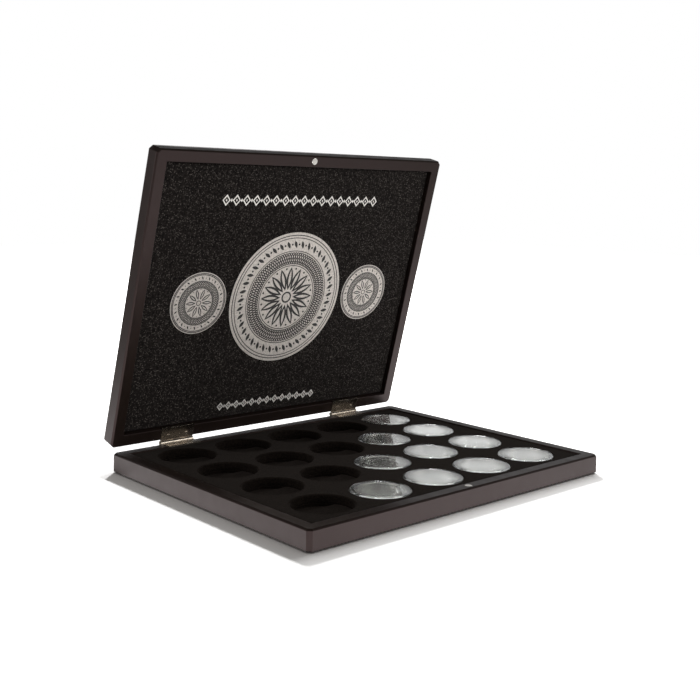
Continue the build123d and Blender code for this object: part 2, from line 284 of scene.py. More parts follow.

# %% [markdown]
# The floor is white paper. The camera sees it at the level where the paper just turns to pure white,
# with the shadow left in it. Further out it glows, to join the white background with no line between
# the two. What the lacquer mirrors of the paper is a painted reflection: an emission, brightest round
# the case and fading with distance, in place of lit paper. Right under the case's edge, and behind
# the lid, painted shade darkens that emission, and the foot of the walls and the lid's lower edge
# mirror the painted shade: it is what outlines them in black.

# %% Floor
FLOOR_SIZE = 6.0
NEAR, FAR = 0.30, 0.85        # from here on out the floor turns into background
PAPER_SEEN = 1.65             # the exposure that turns the lit paper to pure white
# Painted reflection: the strength of the floor's emission as the lacquer mirrors it, by the case and far
# away.
PAINTED_REFLECTION_LEVELS = (2.0, 0.30)  # the paper's brightness in the lacquer, by the case and far away
MIRROR_NEAR, MIRROR_FAR = 0.20, 0.75
FOOTPRINT = (cad_box[1][0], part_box("base_back_rail")[1].y, 0.0)
floor_mesh = bpy.data.meshes.new("floor")
floor_mesh.from_pydata([(x * FLOOR_SIZE / 2, y * FLOOR_SIZE / 2, 0) for x, y in
                        ((-1, -1), (1, -1), (1, 1), (-1, 1))], [], [(0, 1, 2, 3)])
floor = bpy.data.objects.new("floor", floor_mesh)
bpy.context.scene.collection.objects.link(floor)
paper = bpy.data.materials.new("white_paper_sweep")
paper.use_nodes = True
tree = paper.node_tree
tree.nodes.clear()
place = add_node(tree, "ShaderNodeTexCoord")
distance = add_node(tree, "ShaderNodeVectorMath", {0: place.outputs["Object"]}, operation="LENGTH")
glow = add_node(tree, "ShaderNodeMapRange", {
    "Value": distance.outputs["Value"], "From Min": NEAR, "From Max": FAR, "To Min": 0.0,
    "To Max": 1.0})
# Painted reflection: the emission that glossy rays see, brightest by the case and fading outwards.
painted_paper_glow = add_node(tree, "ShaderNodeMapRange", {
    "Value": distance.outputs["Value"], "From Min": MIRROR_NEAR, "From Max": MIRROR_FAR,
    "To Min": PAINTED_REFLECTION_LEVELS[0], "To Max": PAINTED_REFLECTION_LEVELS[1]})
spot = add_node(tree, "ShaderNodeVectorMath", {0: place.outputs["Object"]}, operation="ABSOLUTE")
beyond = add_node(tree, "ShaderNodeVectorMath", {
    0: spot.outputs["Vector"], 1: FOOTPRINT}, operation="SUBTRACT")
out_by = add_node(tree, "ShaderNodeSeparateXYZ", {0: beyond.outputs["Vector"]})
beside = add_node(tree, "ShaderNodeMath", {
    0: out_by.outputs["X"], 1: out_by.outputs["Y"]}, operation="MAXIMUM")
# Painted shade: the mirrored emission drops to 0.08 under the case and within 4 mm of its footprint, a
# painted contact shadow.
painted_contact_shade = add_node(tree, "ShaderNodeMapRange", {
    "Value": beside.outputs[0], "From Min": -1 * MM, "From Max": 4 * MM, "To Min": 0.08,
    "To Max": 1.0})
along = add_node(tree, "ShaderNodeSeparateXYZ", {0: place.outputs["Object"]})
ahead = add_node(tree, "ShaderNodeMath", {
    0: FOOTPRINT[1], 1: along.outputs["Y"]}, operation="SUBTRACT")
not_behind = add_node(tree, "ShaderNodeMath", {
    0: out_by.outputs["X"], 1: ahead.outputs[0]}, operation="MAXIMUM")
# Painted shade: the mirrored emission drops to 0.12 behind the lid, a painted shadow of the lid.
lid_shade = add_node(tree, "ShaderNodeMapRange", {
    "Value": not_behind.outputs[0], "From Min": 0.0, "From Max": 15 * MM, "To Min": 0.12,
    "To Max": 1.0})
shaded = add_node(tree, "ShaderNodeMath", {
    0: painted_contact_shade.outputs[0], 1: lid_shade.outputs[0]}, operation="MULTIPLY")
painted_glow_with_shade = add_node(tree, "ShaderNodeMath", {
    0: painted_paper_glow.outputs[0], 1: shaded.outputs[0]}, operation="MULTIPLY")
ray = add_node(tree, "ShaderNodeLightPath")
clear_or_seen = add_node(tree, "ShaderNodeMath", {
    0: ray.outputs["Is Camera Ray"], 1: ray.outputs["Is Transmission Ray"]}, operation="MAXIMUM")
bounce = add_node(tree, "ShaderNodeBsdfDiffuse", {"Color": (0.8, 0.8, 0.8, 1.0)})
white = add_node(tree, "ShaderNodeBsdfDiffuse", {
    "Color": (PAPER_SEEN, PAPER_SEEN, PAPER_SEEN, 1.0)})
shine = add_node(tree, "ShaderNodeEmission", {"Strength": glow.outputs[0]})
shown = add_node(tree, "ShaderNodeAddShader", {0: white.outputs[0], 1: shine.outputs[0]})
# Painted reflection: this emission is what lacquer, silver and plastic mirror of the floor, painted shade
# included.
painted_paper_reflection = add_node(tree, "ShaderNodeEmission", {"Strength": painted_glow_with_shade.outputs[0]})
pick = add_node(tree, "ShaderNodeMixShader", {
    0: clear_or_seen.outputs[0], 1: bounce.outputs[0], 2: shown.outputs[0]})
last_pick = add_node(tree, "ShaderNodeMixShader", {
    0: ray.outputs["Is Glossy Ray"], 1: pick.outputs[0], 2: painted_paper_reflection.outputs[0]})
add_node(tree, "ShaderNodeOutputMaterial", {"Surface": last_pick.outputs[0]})
floor_mesh.materials.append(paper)
table.objects.link(floor)

# %% [markdown]
# ## Finishes
# Each finish starts from what the real one is and how its surface was made. All patterns are worked
# out in millimetres: a noise whose lumps should be `size` apart gets a scale of 1 / size, in metres.
# The patterns read Object coordinates, and every piece's object stays at the origin, so a pattern
# runs on from one piece to the next and keeps its scale everywhere.

# %% A material to fill in
def new_finish(name):
    """A material with its node tree, its shader and the output of Object coordinates."""
    material = bpy.data.materials.new(name)
    material.use_nodes = True
    tree = material.node_tree
    tree.nodes.clear()
    shader = add_node(tree, "ShaderNodeBsdfPrincipled")
    add_node(tree, "ShaderNodeOutputMaterial", {"Surface": shader.outputs[0]})
    place = add_node(tree, "ShaderNodeTexCoord").outputs["Object"]
    return material, tree, shader, place


def per_mm(size):
    """The scale of a pattern whose features are this many millimetres apart."""
    return 1.0 / (size * MM)


# %% [markdown]
# **Satin black lacquer on fibreboard.** It is sprayed on in a few coats and left off the gun, so it
# is black with a faint warm tone, smooth to the finger, and mirrors softly. Close up the spray
# leaves a shallow orange peel about a millimetre across, and handling leaves the gloss a little
# uneven. At a low angle the matting powder in the lacquer keeps it from turning into a mirror.

# %% Satin black lacquer
lacquer, tree, shader, place = new_finish("satin_black_lacquer")
cloud = add_node(tree, "ShaderNodeTexNoise", {"Vector": place, "Scale": per_mm(22), "Detail": 3.0})
tone = add_node(tree, "ShaderNodeMix", {
    "Factor": cloud.outputs["Fac"], 6: linear("#211A16"), 7: linear("#29201B")}, data_type="RGBA")
tree.links.new(tone.outputs[2], shader.inputs["Base Color"])
handling = add_node(tree, "ShaderNodeTexNoise", {
    "Vector": place, "Scale": per_mm(9), "Detail": 4.0})
gloss = add_node(tree, "ShaderNodeMapRange", {
    "Value": handling.outputs["Fac"], "From Min": 0.3, "From Max": 0.7, "To Min": 0.34,
    "To Max": 0.42})
tree.links.new(gloss.outputs[0], shader.inputs["Roughness"])
peel = add_node(tree, "ShaderNodeTexNoise", {"Vector": place, "Scale": per_mm(1.1), "Detail": 2.0})
bump = add_node(tree, "ShaderNodeBump", {
    "Height": peel.outputs["Fac"], "Strength": 0.25, "Distance": 0.03 * MM})
tree.links.new(bump.outputs[0], shader.inputs["Normal"])
shader.inputs["IOR"].default_value = 1.5
shader.inputs["Specular IOR Level"].default_value = 0.38
shader.inputs["Specular Tint"].default_value = linear("#FFDFE1")

# %% [markdown]
# ** Black pile velvet** on the lid's lining board. The pile stands in small tufts that lean every
# way: most of them swallow the light. Here and there a tip that would catch it is given a bright
# speck of lighter colour, a painted glint rather than a highlight from the lamps. The tufts are drawn
# about a millimetre apart, a little coarser than life, so that they still show from across the
# table. Velvet is brightest where it is seen edge on, which is what sheen does.

# %% Black pile velvet
velvet, tree, shader, place = new_finish("black_pile_velvet")
tuft = add_node(tree, "ShaderNodeTexNoise", {"Vector": place, "Scale": per_mm(1.9), "Detail": 3.0,
                                             "Roughness": 0.75})
pile = add_node(tree, "ShaderNodeMapRange", {
    "Value": tuft.outputs["Fac"], "From Min": 0.36, "From Max": 0.64, "To Min": 0.0, "To Max": 1.0})
# Painted glints: scattered cells about a millimetre apart, where a lighter colour stands for pile tips
# catching the light.
tips = add_node(tree, "ShaderNodeTexVoronoi", {"Vector": place, "Scale": per_mm(1.0)})
near_tip = add_node(tree, "ShaderNodeMapRange", {
    "Value": tips.outputs["Distance"], "From Min": 0.10, "From Max": 0.60, "To Min": 1.0,
    "To Max": 0.0})
chance = add_node(tree, "ShaderNodeSeparateColor", {0: tips.outputs["Color"]})
lucky = add_node(tree, "ShaderNodeMapRange", {
    "Value": chance.outputs[0], "From Min": 0.55, "From Max": 1.0, "To Min": 0.0, "To Max": 1.0})
painted_glint = add_node(tree, "ShaderNodeMath", {0: near_tip.outputs[0], 1: lucky.outputs[0]},
                 operation="MULTIPLY")
dark = add_node(tree, "ShaderNodeMix", {
    "Factor": pile.outputs[0], 6: linear("#070505"), 7: linear("#221E1C")}, data_type="RGBA")
# The painted glints are laid into the colour here, by the glint mask.
lit = add_node(tree, "ShaderNodeMix", {
    "Factor": painted_glint.outputs[0], 6: dark.outputs[2], 7: linear("#6A645F")}, data_type="RGBA")
tree.links.new(lit.outputs[2], shader.inputs["Base Color"])
nap = add_node(tree, "ShaderNodeBump", {
    "Height": tuft.outputs["Fac"], "Strength": 0.6, "Distance": 0.25 * MM})
tree.links.new(nap.outputs[0], shader.inputs["Normal"])
shader.inputs["Roughness"].default_value = 0.95
shader.inputs["Specular IOR Level"].default_value = 0.1
shader.inputs["Sheen Weight"].default_value = 0.06
shader.inputs["Sheen Roughness"].default_value = 0.5
shader.inputs["Sheen Tint"].default_value = linear("#B8B0A8")

# %% [markdown]
# **Black flock** on the moulded tray: short fibres shot onto glue, finer and deader than velvet.
# It needs almost no colour. What draws the pockets is the sheen on their soft lips, where the
# fibres are seen from the side.

# %% Black flock
flock, tree, shader, place = new_finish("black_flock")
fibre = add_node(tree, "ShaderNodeTexNoise", {"Vector": place, "Scale": per_mm(1.3), "Detail": 3.0,
                                              "Roughness": 0.75})
depth = add_node(tree, "ShaderNodeMapRange", {
    "Value": fibre.outputs["Fac"], "From Min": 0.35, "From Max": 0.68, "To Min": 0.0,
    "To Max": 1.0})
dark = add_node(tree, "ShaderNodeMix", {
    "Factor": depth.outputs[0], 6: linear("#0E0A08"), 7: linear("#241E1A")}, data_type="RGBA")
tree.links.new(dark.outputs[2], shader.inputs["Base Color"])
nap = add_node(tree, "ShaderNodeBump", {
    "Height": fibre.outputs["Fac"], "Strength": 0.5, "Distance": 0.15 * MM})
tree.links.new(nap.outputs[0], shader.inputs["Normal"])
shader.inputs["Roughness"].default_value = 0.95
shader.inputs["Specular IOR Level"].default_value = 0.05
shader.inputs["Sheen Weight"].default_value = 0.10
shader.inputs["Sheen Roughness"].default_value = 0.35
shader.inputs["Sheen Tint"].default_value = linear("#A8A09A")

# %% [markdown]
# **Dark felt** under the base: pressed wool with no weave, a blue-black a shade greener than the
# lacquer, matt, with stray hairs lying every way.

# %% Dark felt
felt_finish, tree, shader, place = new_finish("dark_pressed_felt")
wool = add_node(tree, "ShaderNodeTexNoise", {"Vector": place, "Scale": per_mm(2.6), "Detail": 6.0,
                                             "Roughness": 0.7, "Distortion": 1.6})
mottle = add_node(tree, "ShaderNodeMix", {
    "Factor": wool.outputs["Fac"], 6: linear("#141A1B"), 7: linear("#2B3334")}, data_type="RGBA")
tree.links.new(mottle.outputs[2], shader.inputs["Base Color"])
nap = add_node(tree, "ShaderNodeBump", {
    "Height": wool.outputs["Fac"], "Strength": 0.7, "Distance": 0.3 * MM})
tree.links.new(nap.outputs[0], shader.inputs["Normal"])
shader.inputs["Roughness"].default_value = 0.95
shader.inputs["Specular IOR Level"].default_value = 0.1
shader.inputs["Sheen Weight"].default_value = 0.1

# %% [markdown]
# **Grey board**, the stiffener behind the velvet: recycled paper pulp, with darker and lighter
# fibres pressed flat. Only its edge could ever be seen.

# %% Grey board
board_finish, tree, shader, place = new_finish("grey_pulp_board")
pulp = add_node(tree, "ShaderNodeTexNoise", {"Vector": place, "Scale": per_mm(0.8), "Detail": 5.0})
grey = add_node(tree, "ShaderNodeMix", {
    "Factor": pulp.outputs["Fac"], 6: linear("#6E6A64"), 7: linear("#94908A")}, data_type="RGBA")
tree.links.new(grey.outputs[2], shader.inputs["Base Color"])
shader.inputs["Roughness"].default_value = 0.9

# %% [markdown]
# **Clear acrylic** of the capsules: injection moulded and polished, index 1.49, a trace of cool
# blue where the light has a long way through it. Real light passes through it and lights the coin;
# a path tracer finds that hard, so light rays from the lamps may pass straight through. Moulded
# plates are never quite flat: a sag of a few tenths of a millimetre bends what they mirror.

# %% Clear acrylic
acrylic, tree, shader, place = new_finish("clear_moulded_acrylic")
shader.inputs["Base Color"].default_value = linear("#F6F8F8")
shader.inputs["Transmission Weight"].default_value = 1.0
shader.inputs["IOR"].default_value = 1.49
scuff = add_node(tree, "ShaderNodeTexNoise", {"Vector": place, "Scale": per_mm(6), "Detail": 4.0})
haze = add_node(tree, "ShaderNodeMapRange", {
    "Value": scuff.outputs["Fac"], "From Min": 0.4, "From Max": 0.8, "To Min": 0.01,
    "To Max": 0.05})
tree.links.new(haze.outputs[0], shader.inputs["Roughness"])
through = add_node(tree, "ShaderNodeBsdfTransparent", {"Color": linear("#F1F4F4")})
ray = add_node(tree, "ShaderNodeLightPath")
both = add_node(tree, "ShaderNodeMixShader", {
    0: ray.outputs["Is Shadow Ray"], 1: shader.outputs[0], 2: through.outputs[0]})
sag = add_node(tree, "ShaderNodeTexNoise", {"Vector": place, "Scale": per_mm(25), "Detail": 1.0})
waviness = add_node(tree, "ShaderNodeBump", {
    "Height": sag.outputs["Fac"], "Strength": 1.0, "Distance": 0.3 * MM})
tree.links.new(waviness.outputs[0], shader.inputs["Normal"])
output = next(n for n in tree.nodes if n.type == "OUTPUT_MATERIAL")
tree.links.new(both.outputs[0], output.inputs["Surface"])

# %% [markdown]
# **Minted silver.** Struck between polished dies the metal flows outwards, which leaves fine radial
# lines. They spread each highlight into the turning fan that collectors call cartwheel lustre. The
# lines are a hair apart; here there are a few hundred round the coin, read from the coin's own flat
# coordinates, in which its centre is at zero.

# %% Minted silver
silver, tree, shader, place = new_finish("minted_fine_silver")
FLOW_LINES = 240
own_place = add_node(tree, "ShaderNodeUVMap", uv_map="coin_face")
axes = add_node(tree, "ShaderNodeSeparateXYZ", {0: own_place.outputs[0]})
angle = add_node(tree, "ShaderNodeMath", {
    0: axes.outputs["Y"], 1: axes.outputs["X"]}, operation="ARCTAN2")
turns = add_node(tree, "ShaderNodeMath", {
    0: angle.outputs[0], 1: float(FLOW_LINES)}, operation="MULTIPLY")
flow = add_node(tree, "ShaderNodeMath", {0: turns.outputs[0]}, operation="SINE")
ripple = add_node(tree, "ShaderNodeTexNoise", {
    "Vector": place, "Scale": per_mm(1.0), "Detail": 3.0})
surface = add_node(tree, "ShaderNodeMath", {0: flow.outputs[0], 1: 0.5, 2: ripple.outputs["Fac"]},
                   operation="MULTIPLY_ADD")
bump = add_node(tree, "ShaderNodeBump", {
    "Height": surface.outputs[0], "Strength": 0.4, "Distance": 0.03 * MM})
tree.links.new(bump.outputs[0], shader.inputs["Normal"])
bloom = add_node(tree, "ShaderNodeMix", {
    "Factor": ripple.outputs["Fac"], 6: linear("#C6C4BF"), 7: linear("#E6E4E0")}, data_type="RGBA")
tree.links.new(bloom.outputs[2], shader.inputs["Base Color"])
satin = add_node(tree, "ShaderNodeMapRange", {
    "Value": ripple.outputs["Fac"], "From Min": 0.3, "From Max": 0.7, "To Min": 0.15,
    "To Max": 0.24})
tree.links.new(satin.outputs[0], shader.inputs["Roughness"])
shader.inputs["Metallic"].default_value = 1.0

# %% [markdown]
# **Nickel plate** on pressed steel, for the hinges, and brighter on the magnets. Stamping and
# tumbling leave fine scratches in every direction under a warm grey shine.

# %% Nickel plate
def nickel(name, low_tone, high_tone, smooth, rough):
    material, tree, shader, place = new_finish(name)
    stain = add_node(tree, "ShaderNodeTexNoise", {
        "Vector": place, "Scale": per_mm(4), "Detail": 4.0})
    colour = add_node(tree, "ShaderNodeMix", {
        "Factor": stain.outputs["Fac"], 6: linear(low_tone), 7: linear(high_tone)},
        data_type="RGBA")
    tree.links.new(colour.outputs[2], shader.inputs["Base Color"])
    stretch = add_node(tree, "ShaderNodeMapping", {"Vector": place, "Scale": (0.12, 1.0, 1.0)})
    scratch = add_node(tree, "ShaderNodeTexNoise", {
        "Vector": stretch.outputs[0], "Scale": per_mm(0.35), "Detail": 2.0})
    gloss = add_node(tree, "ShaderNodeMapRange", {
        "Value": scratch.outputs["Fac"], "From Min": 0.3, "From Max": 0.7,
        "To Min": smooth, "To Max": rough})
    tree.links.new(gloss.outputs[0], shader.inputs["Roughness"])
    bump = add_node(tree, "ShaderNodeBump", {
        "Height": scratch.outputs["Fac"], "Strength": 0.02, "Distance": 0.01 * MM})
    tree.links.new(bump.outputs[0], shader.inputs["Normal"])
    shader.inputs["Metallic"].default_value = 1.0
    return material


hinge_nickel = nickel("tumbled_nickel_plate", "#8E8478", "#BDB3A6", 0.20, 0.28)
magnet_nickel = nickel("bright_nickel_plate", "#CFCBC4", "#EFEBE4", 0.12, 0.22)

# %% [markdown]
# **Silver-grey screen ink** on the velvet. The ink wets only the tips of the pile, so the print is
# broken up by the same grain as the cloth, matt, and brighter where it lies thick.

# %% Screen ink
def screen_ink(name, thin, thick, metal):
    material, tree, shader, place = new_finish(name)
    tuft = add_node(tree, "ShaderNodeTexNoise", {
        "Vector": place, "Scale": per_mm(1.2), "Detail": 3.0,
                                                 "Roughness": 0.7})
    cover = add_node(tree, "ShaderNodeMapRange", {
        "Value": tuft.outputs["Fac"], "From Min": 0.30, "From Max": 0.62, "To Min": 0.0,
        "To Max": 1.0})
    colour = add_node(tree, "ShaderNodeMix", {
        "Factor": cover.outputs[0], 6: linear(thin), 7: linear(thick)}, data_type="RGBA")
    tree.links.new(colour.outputs[2], shader.inputs["Base Color"])
    nap = add_node(tree, "ShaderNodeBump", {
        "Height": tuft.outputs["Fac"], "Strength": 0.5, "Distance": 0.12 * MM})
    tree.links.new(nap.outputs[0], shader.inputs["Normal"])
    shader.inputs["Metallic"].default_value = metal
    shader.inputs["Roughness"].default_value = 0.6
    return material


silver_ink = screen_ink("silver_grey_screen_ink", "#A9A29B", "#D8D1CA", 0.6)
black_ink = screen_ink("bare_velvet_between_ink", "#0C0908", "#1E1A18", 0.0)
print("finishes:", len(bpy.data.materials))

# %% [markdown]
# ## Making and handing over a piece
# A finished piece is a mesh whose object stands at the origin, unturned. It rides on a body, takes
# the finish it is given, goes on the light lists of its slot, and may stand for the plain frame nodes
# that it replaces. Smooth shading is for curved faces only. A large flat face next to a rounded edge is
# shaded flat, or the rounding would bleed across it as a false gradient.

# %% Handing over
def hand_over(name, mesh, material, body, slot, nodes=()):
    mesh.materials.clear()
    mesh.materials.append(material)
    mesh.polygons.foreach_set("material_index", [0] * len(mesh.polygons))
    piece = bpy.data.objects.new(name, mesh)
    bpy.context.scene.collection.objects.link(piece)
    whole_case.objects.link(piece)
    for lit_pieces in LISTS_BY_SLOT.get(slot, ()):
        lit_pieces.objects.link(piece)
    if body != "lid":
        shadow_casters.objects.link(piece)
    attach(piece, body)
    if nodes:
        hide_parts(*nodes)
    return piece


def mark_curved(bm, facet=24.0, flat=0.5):
    """Shade a face smooth if it meets a neighbour at a small angle, as the facets of a curve do."""
    for face in bm.faces:
        face.smooth = False
    for edge in bm.edges:
        if len(edge.link_faces) == 2:
            bend = math.degrees(edge.calc_face_angle(0.0))
            if flat < bend < facet:
                for face in edge.link_faces:
                    face.smooth = True
            elif bend >= facet:
                edge.smooth = False


def mesh_from(bm, name, place=None):
    if place is not None:
        bm.transform(place)
    mesh = bpy.data.meshes.new(name)
    bm.to_mesh(mesh)
    bm.free()
    return mesh


# %% [markdown]
# ## Rounded edges
# No real edge is perfectly sharp: sandpaper takes it off wood before the lacquer, and tumbling takes
# it off metal. The frame gives the large bevels. A copy of each node has its loose triangles merged
# to clean faces, and then every edge that sticks out gets a small round of its own, which is what
# catches the light as a thin bright line. The glued faces between two rails stay sharp, so the
# lacquer runs over the joint without a groove.

# %% A softened copy of a node
def softened(node, rounding, material, slot, body, name, shut=False, glued=None, least=20.0):
    bm = bmesh.new()
    bm.from_mesh(frame["nodes"][node].data)
    if shut:
        bm.transform(SHUT)
    bmesh.ops.remove_doubles(bm, verts=bm.verts, dist=2e-6)
    bmesh.ops.dissolve_limit(bm, angle_limit=math.radians(0.5), verts=bm.verts, edges=bm.edges)
    bmesh.ops.recalc_face_normals(bm, faces=bm.faces)
    mark_curved(bm, facet=least)
    outer = [e for e in bm.edges if len(e.link_faces) == 2 and e.is_convex
             and math.degrees(e.calc_face_angle(0.0)) > least
             and not (glued and any(glued(f) for f in e.link_faces))]
    made = bmesh.ops.bevel(bm, geom=outer, offset=rounding * MM, offset_type="OFFSET", segments=3,
                           profile=0.5, affect="EDGES", clamp_overlap=True)
    for face in made["faces"]:
        face.smooth = True
    mesh = mesh_from(bm, name, OPENED if shut else None)
    return hand_over(name, mesh, material, body, slot, [node])


# %% [markdown]
# **The woodwork.** Eight rails with mitred corners, the lid's panel and the bottom panel. Each has a
# quarter of a millimetre taken off its edges.

# %% Rails and panels
LID_JOINT = shut_box("lid_panel")[0].z


def glued_face(face):
    """True on a mitre, and where the lid's panel lies on its rails."""
    at, normal = face.calc_center_median(), face.normal
    mitre = at.x * normal.x * at.y * normal.y < 0 and min(abs(normal.x), abs(normal.y)) > 0.5
    return mitre or (abs(normal.z) > 0.9 and abs(at.z - LID_JOINT) < 0.1 * MM)


for half in ("base", "lid"):
    for side in ("front", "right", "back", "left"):
        softened(f"{half}_{side}_rail", 0.25, lacquer, "black_lacquered_wood", half,
                 f"{half}_{side}_rail_lacquered", shut=half == "lid", glued=glued_face)
lid_outside.objects.link(
    softened("lid_panel", 0.25, lacquer, "black_lacquered_wood", "lid", "lid_panel_lacquered",
             shut=True, glued=glued_face))
softened("base_bottom_panel", 0.25, lacquer, "black_lacquered_wood", "base",
         "bottom_panel_lacquered")
softened("lid_lining_board", 0.1, board_finish, "lining_board", "lid", "lining_board_grey",
    shut=True)

# %% [markdown]
# **The metal.** Pressed leaves with rolled knuckles, headed pins, slotted screws, and two small disc
# magnets. Their edges are rounded by less than a tenth of a millimetre.

# %% Hinges, screws and magnets
for side in ("left", "right"):
    softened(f"{side}_hinge_base_leaf", 0.07, hinge_nickel, "nickel_hinge", "base",
             f"{side}_base_leaf_plated", least=30)
    softened(f"{side}_hinge_lid_leaf", 0.07, hinge_nickel, "nickel_hinge", "lid",
             f"{side}_lid_leaf_plated", shut=True, least=30)
    softened(f"{side}_hinge_pin", 0.1, hinge_nickel, "nickel_hinge", "base", f"{side}_pin_plated",
             least=30)
softened("base_hinge_screws", 0.06, hinge_nickel, "nickel_hinge", "base", "base_screws_plated",
    least=30)
softened("lid_hinge_screws", 0.06, hinge_nickel, "nickel_hinge", "lid", "lid_screws_plated",
         shut=True, least=30)
softened("base_magnet", 0.1, magnet_nickel, "nickel_magnet", "base", "base_magnet_plated", least=30)
softened("lid_magnet", 0.1, magnet_nickel, "nickel_magnet", "lid", "lid_magnet_plated", shut=True,
         least=30)

# %% [markdown]
# ## Growing a mesh with Geometry Nodes
# What repeats on this object is made by rule: pockets, beads, leaves, ribs, printed lines. A small
# node tree holds the rule, its named inputs hold the sizes, and the mesh it gives is kept as a plain
# one. The tree's inputs are set through their identifiers, before anything is evaluated.

# %% Trees and what they grow
def new_tree(name, sizes):
    """A Geometry Nodes tree with named inputs, as {name: (socket type, value)}."""
    tree = bpy.data.node_groups.new(name, "GeometryNodeTree")
    tree.interface.new_socket("Geometry", in_out="INPUT", socket_type="NodeSocketGeometry")
    for label, (kind, value) in sizes.items():
        socket = tree.interface.new_socket(label, in_out="INPUT", socket_type="NodeSocket" + kind)
        if value is not None:
            socket.default_value = value
    tree.interface.new_socket("Geometry", in_out="OUTPUT", socket_type="NodeSocketGeometry")
    return tree, add_node(tree, "NodeGroupInput").outputs


def close_tree(tree, parts, material):
    """Join the parts, make them real and give them their finish."""
    joined = add_node(tree, "GeometryNodeJoinGeometry")
    for part in parts:
        tree.links.new(part, joined.inputs[0])
    real = add_node(tree, "GeometryNodeRealizeInstances", {0: joined.outputs[0]})
    dressed = add_node(tree, "GeometryNodeSetMaterial", {0: real.outputs[0], "Material": material})
    add_node(tree, "NodeGroupOutput", {0: dressed.outputs[0]})


def grown(tree, start=None, **sizes):
    """The plain mesh that a tree makes, with inputs named as in the tree."""
    seed_bed = bpy.data.objects.new("seed_bed", start or bpy.data.meshes.new("seed_bed"))
    bpy.context.scene.collection.objects.link(seed_bed)
    modifier = seed_bed.modifiers.new("grow", "NODES")
    modifier.node_group = tree
    for item in tree.interface.items_tree:
        key = item.name.replace(" ", "_").lower()
        if item.in_out == "INPUT" and key in sizes:
            modifier[item.identifier] = sizes[key]
    bpy.context.view_layer.update()
    graph = bpy.context.evaluated_depsgraph_get()
    mesh = bpy.data.meshes.new_from_object(seed_bed.evaluated_get(graph))
    bpy.data.objects.remove(seed_bed)
    return mesh


# %% [markdown]
# ## Turned shapes
# Pocket moulds, capsules and coins are all round. Each is an outline of radii and heights, in
# millimetres, turned about its axis. Every corner of an outline is given its own small radius, with
# a point close to each end of the round to keep the flat parts flat.

# %% Outlines and turning
def rounded_outline(corners, steps=4):
    """Points along (radius, height, rounding) corners, each rounded by an arc."""
    points = []
    for i, (r, z, rounding) in enumerate(corners):
        here = Vector((r, z))
        if rounding == 0 or i in (0, len(corners) - 1):
            points.append(here)
            continue
        back = (Vector(corners[i - 1][:2]) - here).normalized()
        on = (Vector(corners[i + 1][:2]) - here).normalized()
        half = back.angle(on) / 2
        reach = rounding / math.tan(half)
        centre = here + (back + on).normalized() * rounding / math.sin(half)
        start, end = here + back * reach, here + on * reach
        points.append(start + back * rounding * 0.3)
        for k in range(steps + 1):
            way = (start - centre).slerp(end - centre, k / steps)
            points.append(centre + way)
        points.append(end + on * rounding * 0.3)
    return points


def turned(outline, segments, centre=(0.0, 0.0), level=0.0):
    """A closed shape turned from an outline that starts and ends on its axis."""
    bm = bmesh.new()
    rings = []
    for r, z in outline:
        count = 1 if r < 1e-6 else segments
        rings.append([bm.verts.new((centre[0] + r * MM * math.cos(math.tau * k / segments),
                                    centre[1] + r * MM * math.sin(math.tau * k / segments),
                                    level + z * MM)) for k in range(count)])
    for low, high in zip(rings, rings[1:]):
        for k in range(segments):
            n = (k + 1) % segments
            corners = [low[k % len(low)], low[n % len(low)], high[n % len(high)],
                high[k % len(high)]]
            bm.faces.new(list(dict.fromkeys(corners)))
    bmesh.ops.recalc_face_normals(bm, faces=bm.faces)
    if bm.calc_volume(signed=True) < 0:
        bmesh.ops.reverse_faces(bm, faces=bm.faces)
    bm.normal_update()
    for face in bm.faces:
        face.smooth = abs(face.normal.z) < 0.9999
    return bm


# %% [markdown]
# ## The flocked tray
# The real tray is one sheet of plastic drawn over a mould and flocked. Here the mould does the same
# work: a block, less one pocket shape for each place of the grid. A pocket is a round shelf on which
# the capsule sits, with a soft lip that flares out to the top, and behind a straight edge a deeper
# part: press there, and the capsule tips up on that edge to be picked out.

# %% Pocket moulds
tray_low, tray_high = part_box("coin_tray")
POCKET = CAPSULE_RADIUS / MM + 0.4        # radius, with the play round a capsule
SHELF_DEPTH = (tray_high.z - SHELF) / MM
PRESS_DEPTH = 2.2
PRESS_EDGE = 10.0                         # the shelf ends this far behind the pocket's centre
LIP = 1.2


def helper_object(name, bm):
    thing = bpy.data.objects.new(name, mesh_from(bm, name))
    bpy.context.scene.collection.objects.link(thing)
    return thing


flare = [(POCKET + LIP - LIP * math.cos(math.radians(a)),
    SHELF_DEPTH - LIP + LIP * math.sin(math.radians(a)))
         for a in range(0, 84, 9)]
flare.append((POCKET + LIP + 0.6, SHELF_DEPTH + 0.08))
shelf_outline = [(0, 0)] + rounded_outline([(POCKET - 3, 0, 0), (POCKET, 0, 0.5), (POCKET, 3, 0)])
shelf_outline += flare + [(POCKET + LIP + 0.6, SHELF_DEPTH + 1), (0, SHELF_DEPTH + 1)]
shelf_mould = helper_object("shelf_mould", turned(shelf_outline, 144))

